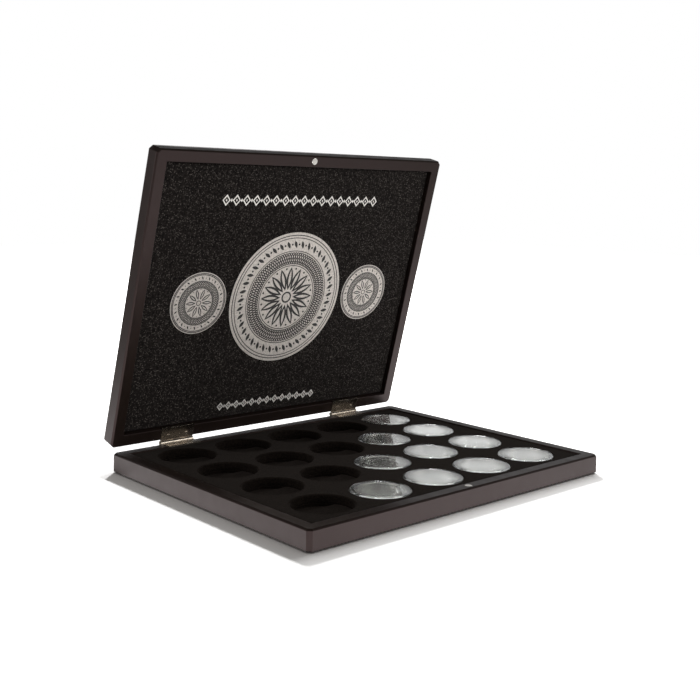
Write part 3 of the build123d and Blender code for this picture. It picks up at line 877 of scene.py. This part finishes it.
section = [Vector((PRESS_EDGE - 0.9, 0.6)), Vector((PRESS_EDGE - 0.9, 0.0))]
section += [Vector((PRESS_EDGE - 0.9 + 0.9 * math.sin(math.radians(a)),
                    -0.9 + 0.9 * math.cos(math.radians(a)))) for a in range(12, 91, 13)]
section += [Vector(p) for p in rounded_outline(
    [(PRESS_EDGE, -1.2, 0), (PRESS_EDGE, -PRESS_DEPTH, 0.4), (PRESS_EDGE + 6, -PRESS_DEPTH, 0)])]
section += [Vector((POCKET + 2, -PRESS_DEPTH)), Vector((POCKET + 2, 0.6))]
bm = bmesh.new()
ends = [[bm.verts.new((x * (POCKET + 2) * MM, p.x * MM, p.y * MM)) for p in section] for x in (-1,
    1)]
bm.faces.new(ends[0])
bm.faces.new(ends[1])
for k in range(len(section)):
    n = (k + 1) % len(section)
    bm.faces.new([ends[0][k], ends[0][n], ends[1][n], ends[1][k]])
bmesh.ops.recalc_face_normals(bm, faces=bm.faces)
press_mould = helper_object("press_mould", bm)
round_mould = helper_object("round_mould", turned(
    [(0, -PRESS_DEPTH - 1), (POCKET - 0.03, -PRESS_DEPTH - 1), (POCKET - 0.03, 1), (0, 1)], 144))

# %% The tray's block and its tree
bm = bmesh.new()
bmesh.ops.create_cube(bm, size=1.0, matrix=Matrix.LocRotScale(
    (tray_low + tray_high) / 2, None, tray_high - tray_low))
rim = [e for e in bm.edges if all(v.co.z > tray_high.z - 1e-5 for v in e.verts)]
uprights = [e for e in bm.edges if abs(e.verts[0].co.z - e.verts[1].co.z) > 1 * MM]
bmesh.ops.bevel(bm, geom=rim + uprights, offset=0.8 * MM, offset_type="OFFSET", segments=4,
                profile=0.5, affect="EDGES")
tray_block = mesh_from(bm, "tray_block")

tree, sizes = new_tree("pocket_grid", {
    "Shelf Mould": ("Object", None), "Press Mould": ("Object", None), "Round Mould": ("Object",
        None),
    "Columns": ("Int", 1), "Rows": ("Int", 1), "Pitch X": ("Float", 0.05), "Pitch Y": ("Float",
        0.05),
    "Level": ("Float", 0.0), "Finish": ("Material", None)})
wide = add_node(tree, "ShaderNodeMath", {0: sizes["Columns"], 1: -1.0}, operation="ADD")
wide = add_node(tree, "ShaderNodeMath", {
    0: wide.outputs[0], 1: sizes["Pitch X"]}, operation="MULTIPLY")
deep = add_node(tree, "ShaderNodeMath", {0: sizes["Rows"], 1: -1.0}, operation="ADD")
deep = add_node(tree, "ShaderNodeMath", {
    0: deep.outputs[0], 1: sizes["Pitch Y"]}, operation="MULTIPLY")
grid = add_node(tree, "GeometryNodeMeshGrid", {
    "Size X": wide.outputs[0], "Size Y": deep.outputs[0],
    "Vertices X": sizes["Columns"], "Vertices Y": sizes["Rows"]})
up = add_node(tree, "ShaderNodeCombineXYZ", {"Z": sizes["Level"]})
raised = add_node(tree, "GeometryNodeSetPosition", {0: grid.outputs[0], "Offset": up.outputs[0]})
shelf = add_node(tree, "GeometryNodeObjectInfo", {0: sizes["Shelf Mould"]})
press = add_node(tree, "GeometryNodeObjectInfo", {0: sizes["Press Mould"]})
bound = add_node(tree, "GeometryNodeObjectInfo", {0: sizes["Round Mould"]})
recess = add_node(tree, "GeometryNodeMeshBoolean", operation="INTERSECT", solver="EXACT")
tree.links.new(press.outputs["Geometry"], recess.inputs["Mesh 2"])
tree.links.new(bound.outputs["Geometry"], recess.inputs["Mesh 2"])
cut = add_node(tree, "GeometryNodeMeshBoolean", {"Mesh 1": sizes["Geometry"]},
               operation="DIFFERENCE", solver="EXACT")
for mould in (shelf.outputs["Geometry"], recess.outputs["Mesh"]):
    set_out = add_node(tree, "GeometryNodeInstanceOnPoints", {
        "Points": raised.outputs[0], "Instance": mould})
    real = add_node(tree, "GeometryNodeRealizeInstances", {0: set_out.outputs[0]})
    tree.links.new(real.outputs[0], cut.inputs["Mesh 2"])
close_tree(tree, [cut.outputs["Mesh"]], sizes["Finish"])

# %% The tray
tray_mesh = grown(tree, tray_block, shelf_mould=shelf_mould, press_mould=press_mould,
                  round_mould=round_mould, columns=COLUMNS, rows=ROWS, pitch_x=PITCH_X,
                  pitch_y=PITCH_Y, level=SHELF, finish=flock)
for mould in (shelf_mould, press_mould, round_mould):
    bpy.data.objects.remove(mould)
bm = bmesh.new()
bm.from_mesh(tray_mesh)
bmesh.ops.remove_doubles(bm, verts=bm.verts, dist=1e-6)
bmesh.ops.dissolve_limit(bm, angle_limit=math.radians(0.3), verts=bm.verts, edges=bm.edges)
mark_curved(bm, facet=40.0, flat=1.0)
for face in bm.faces:
    if face.calc_area() > 200 * MM * MM:
        face.smooth = False
loose = sum(not e.is_manifold for e in bm.edges)
hand_over("coin_tray_flocked", mesh_from(bm, "coin_tray_flocked"), flock, "base", "flocked_tray",
          ["coin_tray"])
print("tray: open edges", loose)

# %% [markdown]
# ## Capsules
# A capsule is two moulded shells of clear acrylic. The lower one has an upright lip that the upper
# one grips. Both are drawn at their full wall thickness, because clear plastic shows what is inside
# it: the lip, the parting line and the polished corners are the bright rings round a coin.

# %% Shell outlines
HALF = CAPSULE_HEIGHT / MM / 2
RADIUS = CAPSULE_RADIUS / MM
BORE, LIP_OUT, LIP_TOP = 19.15, 20.45, 4.4
PLATE = 1.6
lower_outline = rounded_outline([
    (0, 0, 0), (RADIUS, 0, 0.7), (RADIUS, HALF, 0.12), (LIP_OUT, HALF, 0.1), (LIP_OUT, LIP_TOP,
        0.15),
    (BORE, LIP_TOP, 0.15), (BORE, PLATE, 0.15), (0, PLATE, 0)])
upper_outline = rounded_outline([
    (0, 2 * HALF, 0), (RADIUS, 2 * HALF, 0.7), (RADIUS, HALF + 0.05, 0.12),
    (LIP_OUT + 0.1, HALF + 0.05, 0.1), (LIP_OUT + 0.1, LIP_TOP + 0.1, 0.15),
    (BORE, LIP_TOP + 0.1, 0.1), (BORE, 2 * HALF - PLATE, 0.12), (0, 2 * HALF - PLATE, 0)])
for capsule in CAPSULES:
    spot = middle_of(f"{capsule}_lower_shell")
    for shell, outline, body in (("lower", lower_outline, capsule), ("upper", upper_outline,
        capsule + "_top")):
        bm = turned(outline, 128, spot, SHELF)
        hand_over(f"{capsule}_{shell}_clear", mesh_from(bm, f"{capsule}_{shell}_clear"), acrylic, body,
                  "clear_capsule", [f"{capsule}_{shell}_shell"])
print("capsule shells:", 2 * len(CAPSULES))

# %% [markdown]
# ## Coins
# A minted coin has a raised rim, a sunk field with its relief, and a reeded edge. These carry a
# plain ornament that belongs to no mint: on the face a faceted star in a wreath of leaves, on the
# back a rosette of petals with rays, and on both a ring of beads inside the rim. The relief stays
# below the rim, as on any coin that is meant to be stacked.

# %% Coin blank
COIN_RADIUS = 18.9                        # to the bottom of the reeds
COIN_HEIGHT = 3.0
FIELD = 17.1
RELIEF = 0.25                             # from the field up to the rim
coin_outline = rounded_outline([
    (0, RELIEF, 0), (FIELD - 0.2, RELIEF, 0.1), (FIELD + 0.15, 0, 0.1), (COIN_RADIUS, 0, 0.3),
    (COIN_RADIUS, COIN_HEIGHT, 0.3), (FIELD + 0.15, COIN_HEIGHT, 0.1),
    (FIELD - 0.2, COIN_HEIGHT - RELIEF, 0.1), (0, COIN_HEIGHT - RELIEF, 0)])
coin_blank = mesh_from(turned(coin_outline, 160), "coin_blank")


# %% [markdown]
# Leaf, bead and star are small closed shapes, half sunk in the field. A leaf is a squashed ball with
# its two ends drawn to points; a star is a low pyramid over a toothed outline.

# %% Punches for the relief
def leaf_shape(length, width, height, pointed=True, around=12, along=6):
    bm = bmesh.new()
    bmesh.ops.create_uvsphere(bm, u_segments=around, v_segments=along, radius=1.0,
                              matrix=Matrix.Rotation(math.pi / 2, 4, "Y"))
    for v in bm.verts:
        pinch = (1 - abs(v.co.x) ** 1.6) ** 0.6 if pointed else 1.0
        round_off = math.sqrt(max(1e-6, 1 - v.co.x ** 2)) if pointed else 1.0
        v.co = Vector((v.co.x * length / 2, v.co.y / round_off * pinch * width / 2,
                       v.co.z / round_off * pinch * height)) * MM
    bmesh.ops.remove_doubles(bm, verts=bm.verts, dist=1e-7)
    bmesh.ops.recalc_face_normals(bm, faces=bm.faces)
    for face in bm.faces:
        face.smooth = True
    return bm


def star_shape(points, outer, inner, height):
    bm = bmesh.new()
    ring = [bm.verts.new((r * MM * math.cos(a), r * MM * math.sin(a), -0.05 * MM))
            for k in range(2 * points)
            for r, a in [(outer if k % 2 == 0 else inner, math.pi * k / points)]]
    peak = bm.verts.new((0, 0, height * MM))
    foot = bm.verts.new((0, 0, -0.05 * MM))
    for k in range(2 * points):
        n = (k + 1) % (2 * points)
        bm.faces.new([ring[k], ring[n], peak])
        bm.faces.new([ring[n], ring[k], foot])
    bmesh.ops.recalc_face_normals(bm, faces=bm.faces)
    return bm


punches = {
    "leaf": helper_object("leaf_punch", leaf_shape(3.4, 1.5, 0.2)),
    "petal": helper_object("petal_punch", leaf_shape(6.4, 2.3, 0.21)),
    "ray": helper_object("ray_punch", leaf_shape(4.2, 0.5, 0.14)),
    "bead": helper_object("bead_punch", leaf_shape(0.8, 0.8, 0.16, pointed=False, around=8,
        along=4)),
    "reed": helper_object("reed_punch", leaf_shape(0.2, 0.34, 1.2, pointed=False, around=6,
        along=4)),
}

# %% [markdown]
# One tree does all the rings: points on a circle, a punch on each point, turned to face outwards and
# then twisted by the same angle. The coin uses it for the wreath, the beads, the petals, the rays
# and the reeds.

# %% A ring of punches
ring_tree, sizes = new_tree("ring_of_punches", {
    "Punch": ("Object", None), "Count": ("Int", 12), "Ring Radius": ("Float", 0.01),
    "Level": ("Float", 0.0), "Twist": ("Float", 0.0), "First Angle": ("Float", 0.0),
    "Finish": ("Material", None)})
circle = add_node(ring_tree, "GeometryNodeMeshCircle", {
    "Vertices": sizes["Count"], "Radius": sizes["Ring Radius"]})
place = add_node(ring_tree, "GeometryNodeInputPosition")
axes = add_node(ring_tree, "ShaderNodeSeparateXYZ", {0: place.outputs[0]})
outwards = add_node(ring_tree, "ShaderNodeMath", {0: axes.outputs["Y"], 1: axes.outputs["X"]},
                    operation="ARCTAN2")
twisted = add_node(ring_tree, "ShaderNodeMath", {0: outwards.outputs[0], 1: sizes["Twist"]},
                   operation="ADD")
facing = add_node(ring_tree, "ShaderNodeCombineXYZ", {"Z": twisted.outputs[0]})
punch = add_node(ring_tree, "GeometryNodeObjectInfo", {0: sizes["Punch"]})
struck = add_node(ring_tree, "GeometryNodeInstanceOnPoints", {
    "Points": circle.outputs[0], "Instance": punch.outputs["Geometry"],
    "Rotation": facing.outputs[0]})
up = add_node(ring_tree, "ShaderNodeCombineXYZ", {"Z": sizes["Level"]})
spin = add_node(ring_tree, "ShaderNodeCombineXYZ", {"Z": sizes["First Angle"]})
moved = add_node(ring_tree, "GeometryNodeTransform", {
    "Geometry": struck.outputs[0], "Translation": up.outputs[0], "Rotation": spin.outputs[0]})
close_tree(ring_tree, [moved.outputs[0]], sizes["Finish"])


def ring_of(punch, count, radius, level=0.0, twist=0.0, first=0.0):
    return grown(ring_tree, punch=punches[punch], count=count, ring_radius=radius * MM,
                 level=level * MM, twist=math.radians(twist), first_angle=math.radians(first),
                 finish=silver)


# %% [markdown]
# The two faces and the edge are put together once, with the coin's centre at the origin. Its flat
# coordinates are written as a UV map now, while they are still plain, so that the flow lines of the
# silver stay centred on each coin. Every capsule then gets a copy, turned a little by chance.

# %% One coin, then ten
face_rings = [mesh_from(star_shape(8, 6.4, 2.7, 0.21), "star"), ring_of("bead", 72, 16.2),
              ring_of("leaf", 22, 12.6, twist=38), ring_of("leaf", 22, 10.6, twist=-38, first=8),
              ring_of("bead", 40, 8.2)]
back_rings = [ring_of("bead", 72, 16.2), ring_of("petal", 12, 4.1), ring_of("ray", 36, 12.3),
              ring_of("leaf", 12, 8.9, first=15), ring_of("bead", 6, 0.9)]
coin_bm = bmesh.new()
for mesh in face_rings:
    mesh.transform(Matrix.Translation((0, 0, (COIN_HEIGHT - RELIEF) * MM)))
for mesh in back_rings:
    mesh.transform(Matrix.Translation((0, 0, RELIEF * MM)) @ Matrix.Rotation(math.pi, 4, "X"))
edge_ring = ring_of("reed", 132, 18.9, level=COIN_HEIGHT / 2)
for mesh in [coin_blank, edge_ring] + face_rings + back_rings:
    coin_bm.from_mesh(mesh)
face_map = coin_bm.loops.layers.uv.new("coin_face")
for face in coin_bm.faces:
    for loop in face.loops:
        loop[face_map].uv = (loop.vert.co.x / (20 * MM), loop.vert.co.y / (20 * MM))
coin_mesh = mesh_from(coin_bm, "coin")
for punch in punches.values():
    bpy.data.objects.remove(punch)

chance = random.Random(12)
for n, capsule in enumerate(CAPSULES, 1):
    node = f"coin_{n:02d}"
    spot = middle_of(node)
    mesh = coin_mesh.copy()
    mesh.transform(Matrix.Translation((spot.x, spot.y, SHELF + PLATE * MM))
                   @ Matrix.Rotation(math.radians(chance.uniform(-9, 9)), 4, "Z"))
    hand_over(f"{node}_minted", mesh, silver, capsule, "silver_coin", [node])
print("coin faces:", len(coin_mesh.polygons))

# %% [markdown]
# ## The lining of the lid
# A stiff pad wrapped in velvet. Its face is nearly flat, the cloth waves by a few hundredths of a
# millimetre over the glue, and at the edges it rolls over to the back. The pad is made as a fine
# grid whose points crowd together towards the edges, where all the bending is, and sags there.

# %% Velvet pad
lining_low, lining_high = shut_box("lid_lining")
FACE = lining_low.z                       # the velvet's face looks down when the lid is shut
HALF_X, HALF_Y = lining_high.x / MM, lining_high.y / MM
ROLL = 1.1                                # radius of the cloth where it turns over the edge
NEAR_EDGE = [0.0, 0.08, 0.25, 0.5, 0.8, 1.1, 1.6, 2.4, 3.6, 5.2]


def grid_stops(half, step=2.0):
    inner = [NEAR_EDGE[-1] + k * step for k in range(int((half - NEAR_EDGE[-1]) / step) + 1)]
    positive = [half - d for d in NEAR_EDGE[:-1]] + [half - d for d in inner]
    return sorted({round(v, 4) for s in (-1, 1) for v in [s * p for p in positive]})


def velvet_height(x, y):
    """How far the velvet lies behind its highest face at a place, in mm."""
    qx, qy = abs(x) - (HALF_X - 2.5), abs(y) - (HALF_Y - 2.5)
    outside = math.hypot(max(qx, 0), max(qy, 0)) + min(max(qx, qy), 0) - 2.5
    inwards = max(0.0, -outside)
    roll = ROLL - math.sqrt(max(0.0, ROLL ** 2 - max(0.0, ROLL - inwards) ** 2))
    wave = 0.03 * (1 + noise.noise(Vector((x / 17, y / 17, 3.1))))
    return min(roll, 1.4) + 0.12 * math.exp(-(inwards / 3.0) ** 2) + wave * min(1.0, inwards / 4)


xs, ys = grid_stops(HALF_X), grid_stops(HALF_Y)
bm = bmesh.new()
points = [[bm.verts.new((x * MM, y * MM, FACE + velvet_height(x, y) * MM)) for x in xs] for y in ys]
for low, high in zip(points, points[1:]):
    for k in range(len(xs) - 1):
        bm.faces.new([low[k], low[k + 1], high[k + 1], high[k]])
border = points[0] + [row[-1] for row in points[1:-1]] + points[-1][::-1] + [row[0]
    for row in points[-2:0:-1]]
hems = [border]
for level in (2.2, 2.75, 3.0):
    inset = 0.0 if level < 2.9 else 0.3
    hems.append([bm.verts.new((v.co.x - math.copysign(inset * MM,
        v.co.x) * (abs(v.co.x) > (HALF_X - 0.01) * MM),
                               v.co.y - math.copysign(inset * MM,
                                   v.co.y) * (abs(v.co.y) > (HALF_Y - 0.01) * MM),
                               FACE + level * MM)) for v in border])
for low, high in zip(hems, hems[1:]):
    for k in range(len(border)):
        n = (k + 1) % len(border)
        bm.faces.new([low[k], low[n], high[n], high[k]])
bm.faces.new(hems[-1])
bmesh.ops.recalc_face_normals(bm, faces=bm.faces)
for face in bm.faces:
    face.smooth = len(face.verts) == 4
lining = hand_over("velvet_lining", mesh_from(bm, "velvet_lining", OPENED), velvet, "lid",
                   "velvet_lining", ["lid_lining"])
print("lining grid:", len(xs), "by", len(ys))

# %% [markdown]
# ## The felt under the base
# A laid sheet, cut with rounded corners. Its edge is soft and a little uneven, and its face lies
# flat on the table.

# %% Felt
felt_low, felt_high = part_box("underside_felt")
CORNER = 5.0
EDGE_STEP = 1.5


def felt_outline(shrink):
    """Points round the felt, in mm, drawn in by a distance."""
    half_x, half_y = felt_high.x / MM, felt_high.y / MM
    points = []
    for sx, sy, turn in ((1, -1, -90), (1, 1, 0), (-1, 1, 90), (-1, -1, 180)):
        cx, cy = sx * (half_x - CORNER), sy * (half_y - CORNER)
        for k in range(7):
            a = math.radians(turn + 15 * k)
            points.append((cx + (CORNER - shrink) * math.cos(a),
                cy + (CORNER - shrink) * math.sin(a)))
    fine = []
    for (ax, ay), (bx, by) in zip(points, points[1:] + points[:1]):
        count = max(1, round(math.hypot(bx - ax, by - ay) / EDGE_STEP))
        fine += [(ax + (bx - ax) * k / count, ay + (by - ay) * k / count) for k in range(count)]
    return fine


thick = (felt_high.z - felt_low.z) / MM
bm = bmesh.new()
rows = []
for shrink, level in ((0.8, 0.0), (0.25, 0.04), (0.02, 0.35), (0.05, 0.8), (0.35, thick)):
    ring = []
    for x, y in felt_outline(shrink):
        fray = 0.12 * (1 + noise.noise(Vector((x / 1.7, y / 1.7, level)))) if shrink < 0.3 else 0.0
        scale = 1 - fray / max(abs(x), abs(y))
        ring.append(bm.verts.new((x * scale * MM, y * scale * MM, felt_low.z + level * MM)))
    rows.append(ring)
for low, high in zip(rows, rows[1:]):
    for k in range(len(low)):
        n = (k + 1) % len(low)
        bm.faces.new([low[k], low[n], high[n], high[k]])
bm.faces.new(rows[0])
bm.faces.new(rows[-1])
bmesh.ops.recalc_face_normals(bm, faces=bm.faces)
for face in bm.faces:
    face.smooth = len(face.verts) == 4
felt = hand_over("underside_felt_sheet", mesh_from(bm, "underside_felt_sheet"), felt_finish, "base",
                 "underside_felt", ["underside_felt"])
# %% [markdown]
# ## The print on the lining
# Linings like this carry a screen print: silver-grey ink squeezed through a mesh onto the velvet.
# This one is a plain ornament in the manner of banknote borders, where a machine draws waves round
# a circle: a large medallion between two small ones, with a row of lozenges and dots above and one
# below. The ink is drawn a little thicker than it is, a tenth of a millimetre, so that it clears
# the waves of the cloth. It is worked out flat and facing up, as it is seen when the lid is open,
# and turned onto the lining's face at the end.

# %% Levels of the ink
INK_FOOT, INK_TOP = -0.15, 0.10           # mm from the velvet's highest face; the light ground
LINE_TOP = 0.14                           # dark lines, where the mesh was closed over the ground
BRIGHT_TOP = 0.18                         # a second, brighter pull of ink
bright_ink = screen_ink("bright_screen_ink", "#D8D3CC", "#F4F1EC", 0.5)


def flat_shape(points, low, high):
    """A closed flat shape, in mm, from its outline."""
    bm = bmesh.new()
    foot, top = ([bm.verts.new((x * MM, y * MM, z * MM)) for x, y in points] for z in (low, high))
    bm.faces.new(foot)
    bm.faces.new(top)
    for k in range(len(points)):
        n = (k + 1) % len(points)
        bm.faces.new([foot[k], foot[n], top[n], top[k]])
    bmesh.ops.recalc_face_normals(bm, faces=bm.faces)
    return bm


def pointed_oval(length, width, steps=7):
    """Outline of a leaf with two points, lying along x."""
    upper = [(length * (k / steps - 0.5), width / 2 * math.sin(math.pi * k / steps))
        for k in range(steps + 1)]
    return upper + [(x, -y) for x, y in upper[-2:0:-1]]


def round_dot(radius, steps=12):
    return [(radius * math.cos(math.tau * k / steps), radius * math.sin(math.tau * k / steps))
            for k in range(steps)]


# %% [markdown]
# One tree draws every line of the medallions. It takes a circle, copies it once for each strand,
# pushes it in and out by a sine wave that starts a little later on each strand, and gives it the
# flat section of a printed line. With no waves it is a plain ring. Each strand lies a hundredth of a
# millimetre above the one before, so that no two faces share a plane.

# %% The line tree
line_tree, sizes = new_tree("woven_rings", {
    "Steps": ("Int", 256), "Ring Radius": ("Float", 0.03), "Wave Depth": ("Float", 0.0),
    "Waves": ("Float", 0.0), "Strands": ("Int", 1), "Line Width": ("Float", 0.0006),
    "Thickness": ("Float", 0.0002), "Level": ("Float", 0.0), "Rise": ("Float", 0.00001),
    "Finish": ("Material", None)})
circle = add_node(line_tree, "GeometryNodeMeshCircle", {"Vertices": sizes["Steps"], "Radius": 1.0})
curve = add_node(line_tree, "GeometryNodeMeshToCurve", {0: circle.outputs[0]})
strands = add_node(line_tree, "GeometryNodeDuplicateElements", {
    "Geometry": curve.outputs[0], "Amount": sizes["Strands"]}, domain="SPLINE")
number = strands.outputs["Duplicate Index"]
place = add_node(line_tree, "GeometryNodeInputPosition")
axes = add_node(line_tree, "ShaderNodeSeparateXYZ", {0: place.outputs[0]})
angle = add_node(line_tree, "ShaderNodeMath", {0: axes.outputs["Y"], 1: axes.outputs["X"]},
                 operation="ARCTAN2")
share = add_node(line_tree, "ShaderNodeMath", {0: number, 1: sizes["Strands"]}, operation="DIVIDE")
delay = add_node(line_tree, "ShaderNodeMath", {
    0: share.outputs[0], 1: math.tau}, operation="MULTIPLY")
phase = add_node(line_tree, "ShaderNodeMath", {
    0: angle.outputs[0], 1: sizes["Waves"], 2: delay.outputs[0]}, operation="MULTIPLY_ADD")
wave = add_node(line_tree, "ShaderNodeMath", {0: phase.outputs[0]}, operation="SINE")
reach = add_node(line_tree, "ShaderNodeMath", {
    0: wave.outputs[0], 1: sizes["Wave Depth"], 2: sizes["Ring Radius"]}, operation="MULTIPLY_ADD")
height = add_node(line_tree, "ShaderNodeMath", {0: number, 1: sizes["Rise"], 2: sizes["Level"]},
                  operation="MULTIPLY_ADD")
flat_place = add_node(line_tree, "ShaderNodeVectorMath", {
    0: place.outputs[0], "Scale": reach.outputs[0]},
                      operation="SCALE")
lift = add_node(line_tree, "ShaderNodeCombineXYZ", {"Z": height.outputs[0]})
drawn = add_node(line_tree, "GeometryNodeSetPosition", {
    "Geometry": strands.outputs["Geometry"], "Position": flat_place.outputs[0],
    "Offset": lift.outputs[0]})
upright = add_node(line_tree, "GeometryNodeSetCurveNormal", {0: drawn.outputs[0]})
upright.mode = "Z_UP"
section = add_node(line_tree, "GeometryNodeCurvePrimitiveQuadrilateral", {
    "Width": sizes["Line Width"], "Height": sizes["Thickness"]})
line = add_node(line_tree, "GeometryNodeCurveToMesh", {
    "Curve": upright.outputs[0], "Profile Curve": section.outputs[0]})
close_tree(line_tree, [line.outputs[0]], sizes["Finish"])


def woven(radius, width, waves=0, depth=0.0, strands=1, top=LINE_TOP, ink=black_ink):
    """Rings or woven strands of ink, in mm."""
    low = INK_FOOT if ink is silver_ink else 0.0
    steps = max(96, int(waves) * 12)
    return grown(line_tree, steps=steps, ring_radius=radius * MM, wave_depth=depth * MM,
                 waves=float(waves), strands=strands, line_width=width * MM,
                 thickness=(top - low) * MM, level=(top + low) / 2 * MM, rise=0.01 * MM, finish=ink)


# %% [markdown]
# Petals, lozenges and dots are stamped on circles by the tree that made the coins' rings. A
# medallion is a light disc with dark lines and petals on it, and light veins in the petals.

# %% Medallions
def medallion(radius, petals, ticks, strands):
    """Meshes of a medallion round the origin: its light ground, its dark lines, its light veins."""
    s = radius / 59.0
    petal = helper_object("petal", flat_shape(pointed_oval(21 * s, 6.6 * s), 0.0, LINE_TOP))
    vein = helper_object("vein", flat_shape(pointed_oval(15 * s, 2.6 * s), 0.05, BRIGHT_TOP))
    tick = helper_object("tick", flat_shape(pointed_oval(7.4 * s, 3.0 * s, steps=4), 0.0, LINE_TOP))
    dot = helper_object("dot", flat_shape(round_dot(0.95 * s), 0.0, LINE_TOP))

    def stamped(punch, count, at, ink, first=0.0, twist=0.0):
        return grown(ring_tree, punch=punch, count=count, ring_radius=at * s * MM, level=0.0,
                     twist=math.radians(twist), first_angle=math.radians(first), finish=ink)

    ground = [mesh_from(flat_shape(round_dot(radius, 128), INK_FOOT, INK_TOP), "ground")]
    dark = [woven(radius - 2.6 * s, 0.8), woven(radius - 5.0 * s, 0.7),
            stamped(tick, ticks, 48.2, black_ink, twist=24), stamped(dot, ticks, 48.2, black_ink,
                                                                    first=180 / ticks),
            woven(42.2 * s, 0.7), woven(35.6 * s, max(0.55, 0.9 * s), waves=strands, depth=5.2 * s,
                strands=5),
            woven(29.0 * s, 0.7), stamped(petal, petals, 17.2, black_ink),
            stamped(dot, petals, 26.4, black_ink, first=180 / petals), woven(4.4 * s, 1.5 * s)]
    light = [stamped(vein, petals, 17.6, silver_ink)]
    for punch in (petal, vein, tick, dot):
        bpy.data.objects.remove(punch)
    return ground, dark, light


ground_ink, dark_lines, veins = [], [], []
for centre_x, radius, petals, ticks, waves in ((0.0, 59.0, 16, 40, 20), (-90.0, 26.5, 10, 20, 12),
                                               (90.0, 26.5, 10, 20, 12)):
    for kept, made in zip((ground_ink, dark_lines, veins), medallion(radius, petals, ticks, waves)):
        for mesh in made:
            mesh.transform(Matrix.Translation((centre_x * MM, 0, 0)))
            kept.append(mesh)

# %% [markdown]
# The rows are straight, so their tree only needs a line of points: a tall lozenge on each, and on a
# second line, half a step on, a dot.

# %% Rows of lozenges
row_tree, sizes = new_tree("row_of_stamps", {
    "Punch": ("Object", None), "Count": ("Int", 10), "Step": ("Float", 0.01), "Row Start": ("Float",
        0.0),
    "Height": ("Float", 0.0), "Finish": ("Material", None)})
first_place = add_node(row_tree, "ShaderNodeCombineXYZ", {
    "X": sizes["Row Start"], "Y": sizes["Height"]})
one_step = add_node(row_tree, "ShaderNodeCombineXYZ", {"X": sizes["Step"]})
stops = add_node(row_tree, "GeometryNodeMeshLine", {
    "Count": sizes["Count"], "Start Location": first_place.outputs[0],
    "Offset": one_step.outputs[0]})
punch = add_node(row_tree, "GeometryNodeObjectInfo", {0: sizes["Punch"]})
row = add_node(row_tree, "GeometryNodeInstanceOnPoints", {
    "Points": stops.outputs[0], "Instance": punch.outputs["Geometry"]})
close_tree(row_tree, [row.outputs[0]], sizes["Finish"])


def hollow(outline, inner):
    """A frame between two outlines of the same number of points."""
    bm = bmesh.new()
    rings = [[bm.verts.new((x * MM, y * MM, z * MM)) for x, y in points]
             for points, z in ((outline, INK_FOOT), (outline, BRIGHT_TOP), (inner, BRIGHT_TOP),
                 (inner, INK_FOOT))]
    for low, high in zip(rings, rings[1:] + rings[:1]):
        for k in range(len(low)):
            n = (k + 1) % len(low)
            bm.faces.new([low[k], low[n], high[n], high[k]])
    bmesh.ops.recalc_face_normals(bm, faces=bm.faces)
    return bm


def lozenge(wide, tall):
    return [(wide / 2, 0), (0, tall / 2), (-wide / 2, 0), (0, -tall / 2)]


bright = []
for height, tall, half_length, count in ((87.0, 9.6, 80.0, 17), (-96.5, 7.6, 50.0, 13)):
    step = 2 * half_length / (count - 1)
    frames = helper_object("frames", hollow(lozenge(step * 0.78, tall), lozenge(step * 0.78 - 2.4,
        tall - 3.4)))
    dots = helper_object("dots", flat_shape(lozenge(2.0, 3.2), INK_FOOT, BRIGHT_TOP))
    cores = helper_object("cores", flat_shape(lozenge(1.5, 2.4), INK_FOOT, BRIGHT_TOP))
    for punch, amount, start in ((frames, count, -half_length), (cores, count, -half_length),
                                 (dots, count - 1, -half_length + step / 2)):
        bright.append(grown(row_tree, punch=punch, count=amount, step=step * MM,
            row_start=start * MM,
                            height=height * MM, finish=bright_ink))
        bpy.data.objects.remove(punch)

# %% [markdown]
# All the ink of one shade is one piece. It is turned over to face down with the shut lid's lining,
# five millimetres towards the hinges, and then opened with it.

# %% The print goes onto the lining
ONTO_LINING = OPENED @ Matrix.Translation((0, 5 * MM, FACE)) @ Matrix.Rotation(math.pi, 4, "X")
for name, meshes, ink in (("print_ground", ground_ink, silver_ink), ("print_dark_lines", dark_lines,
    black_ink),
                          ("print_light_veins", veins, silver_ink), ("print_bright_rows", bright,
                              bright_ink)):
    bm = bmesh.new()
    for mesh in meshes:
        bm.from_mesh(mesh)
    for face in bm.faces:
        face.smooth = False
    bmesh.ops.recalc_face_normals(bm, faces=bm.faces)
    mesh = mesh_from(bm, name, ONTO_LINING)
    hand_over(name, mesh, ink, "lid", "velvet_lining")
    print(name, "faces:", len(mesh.polygons))
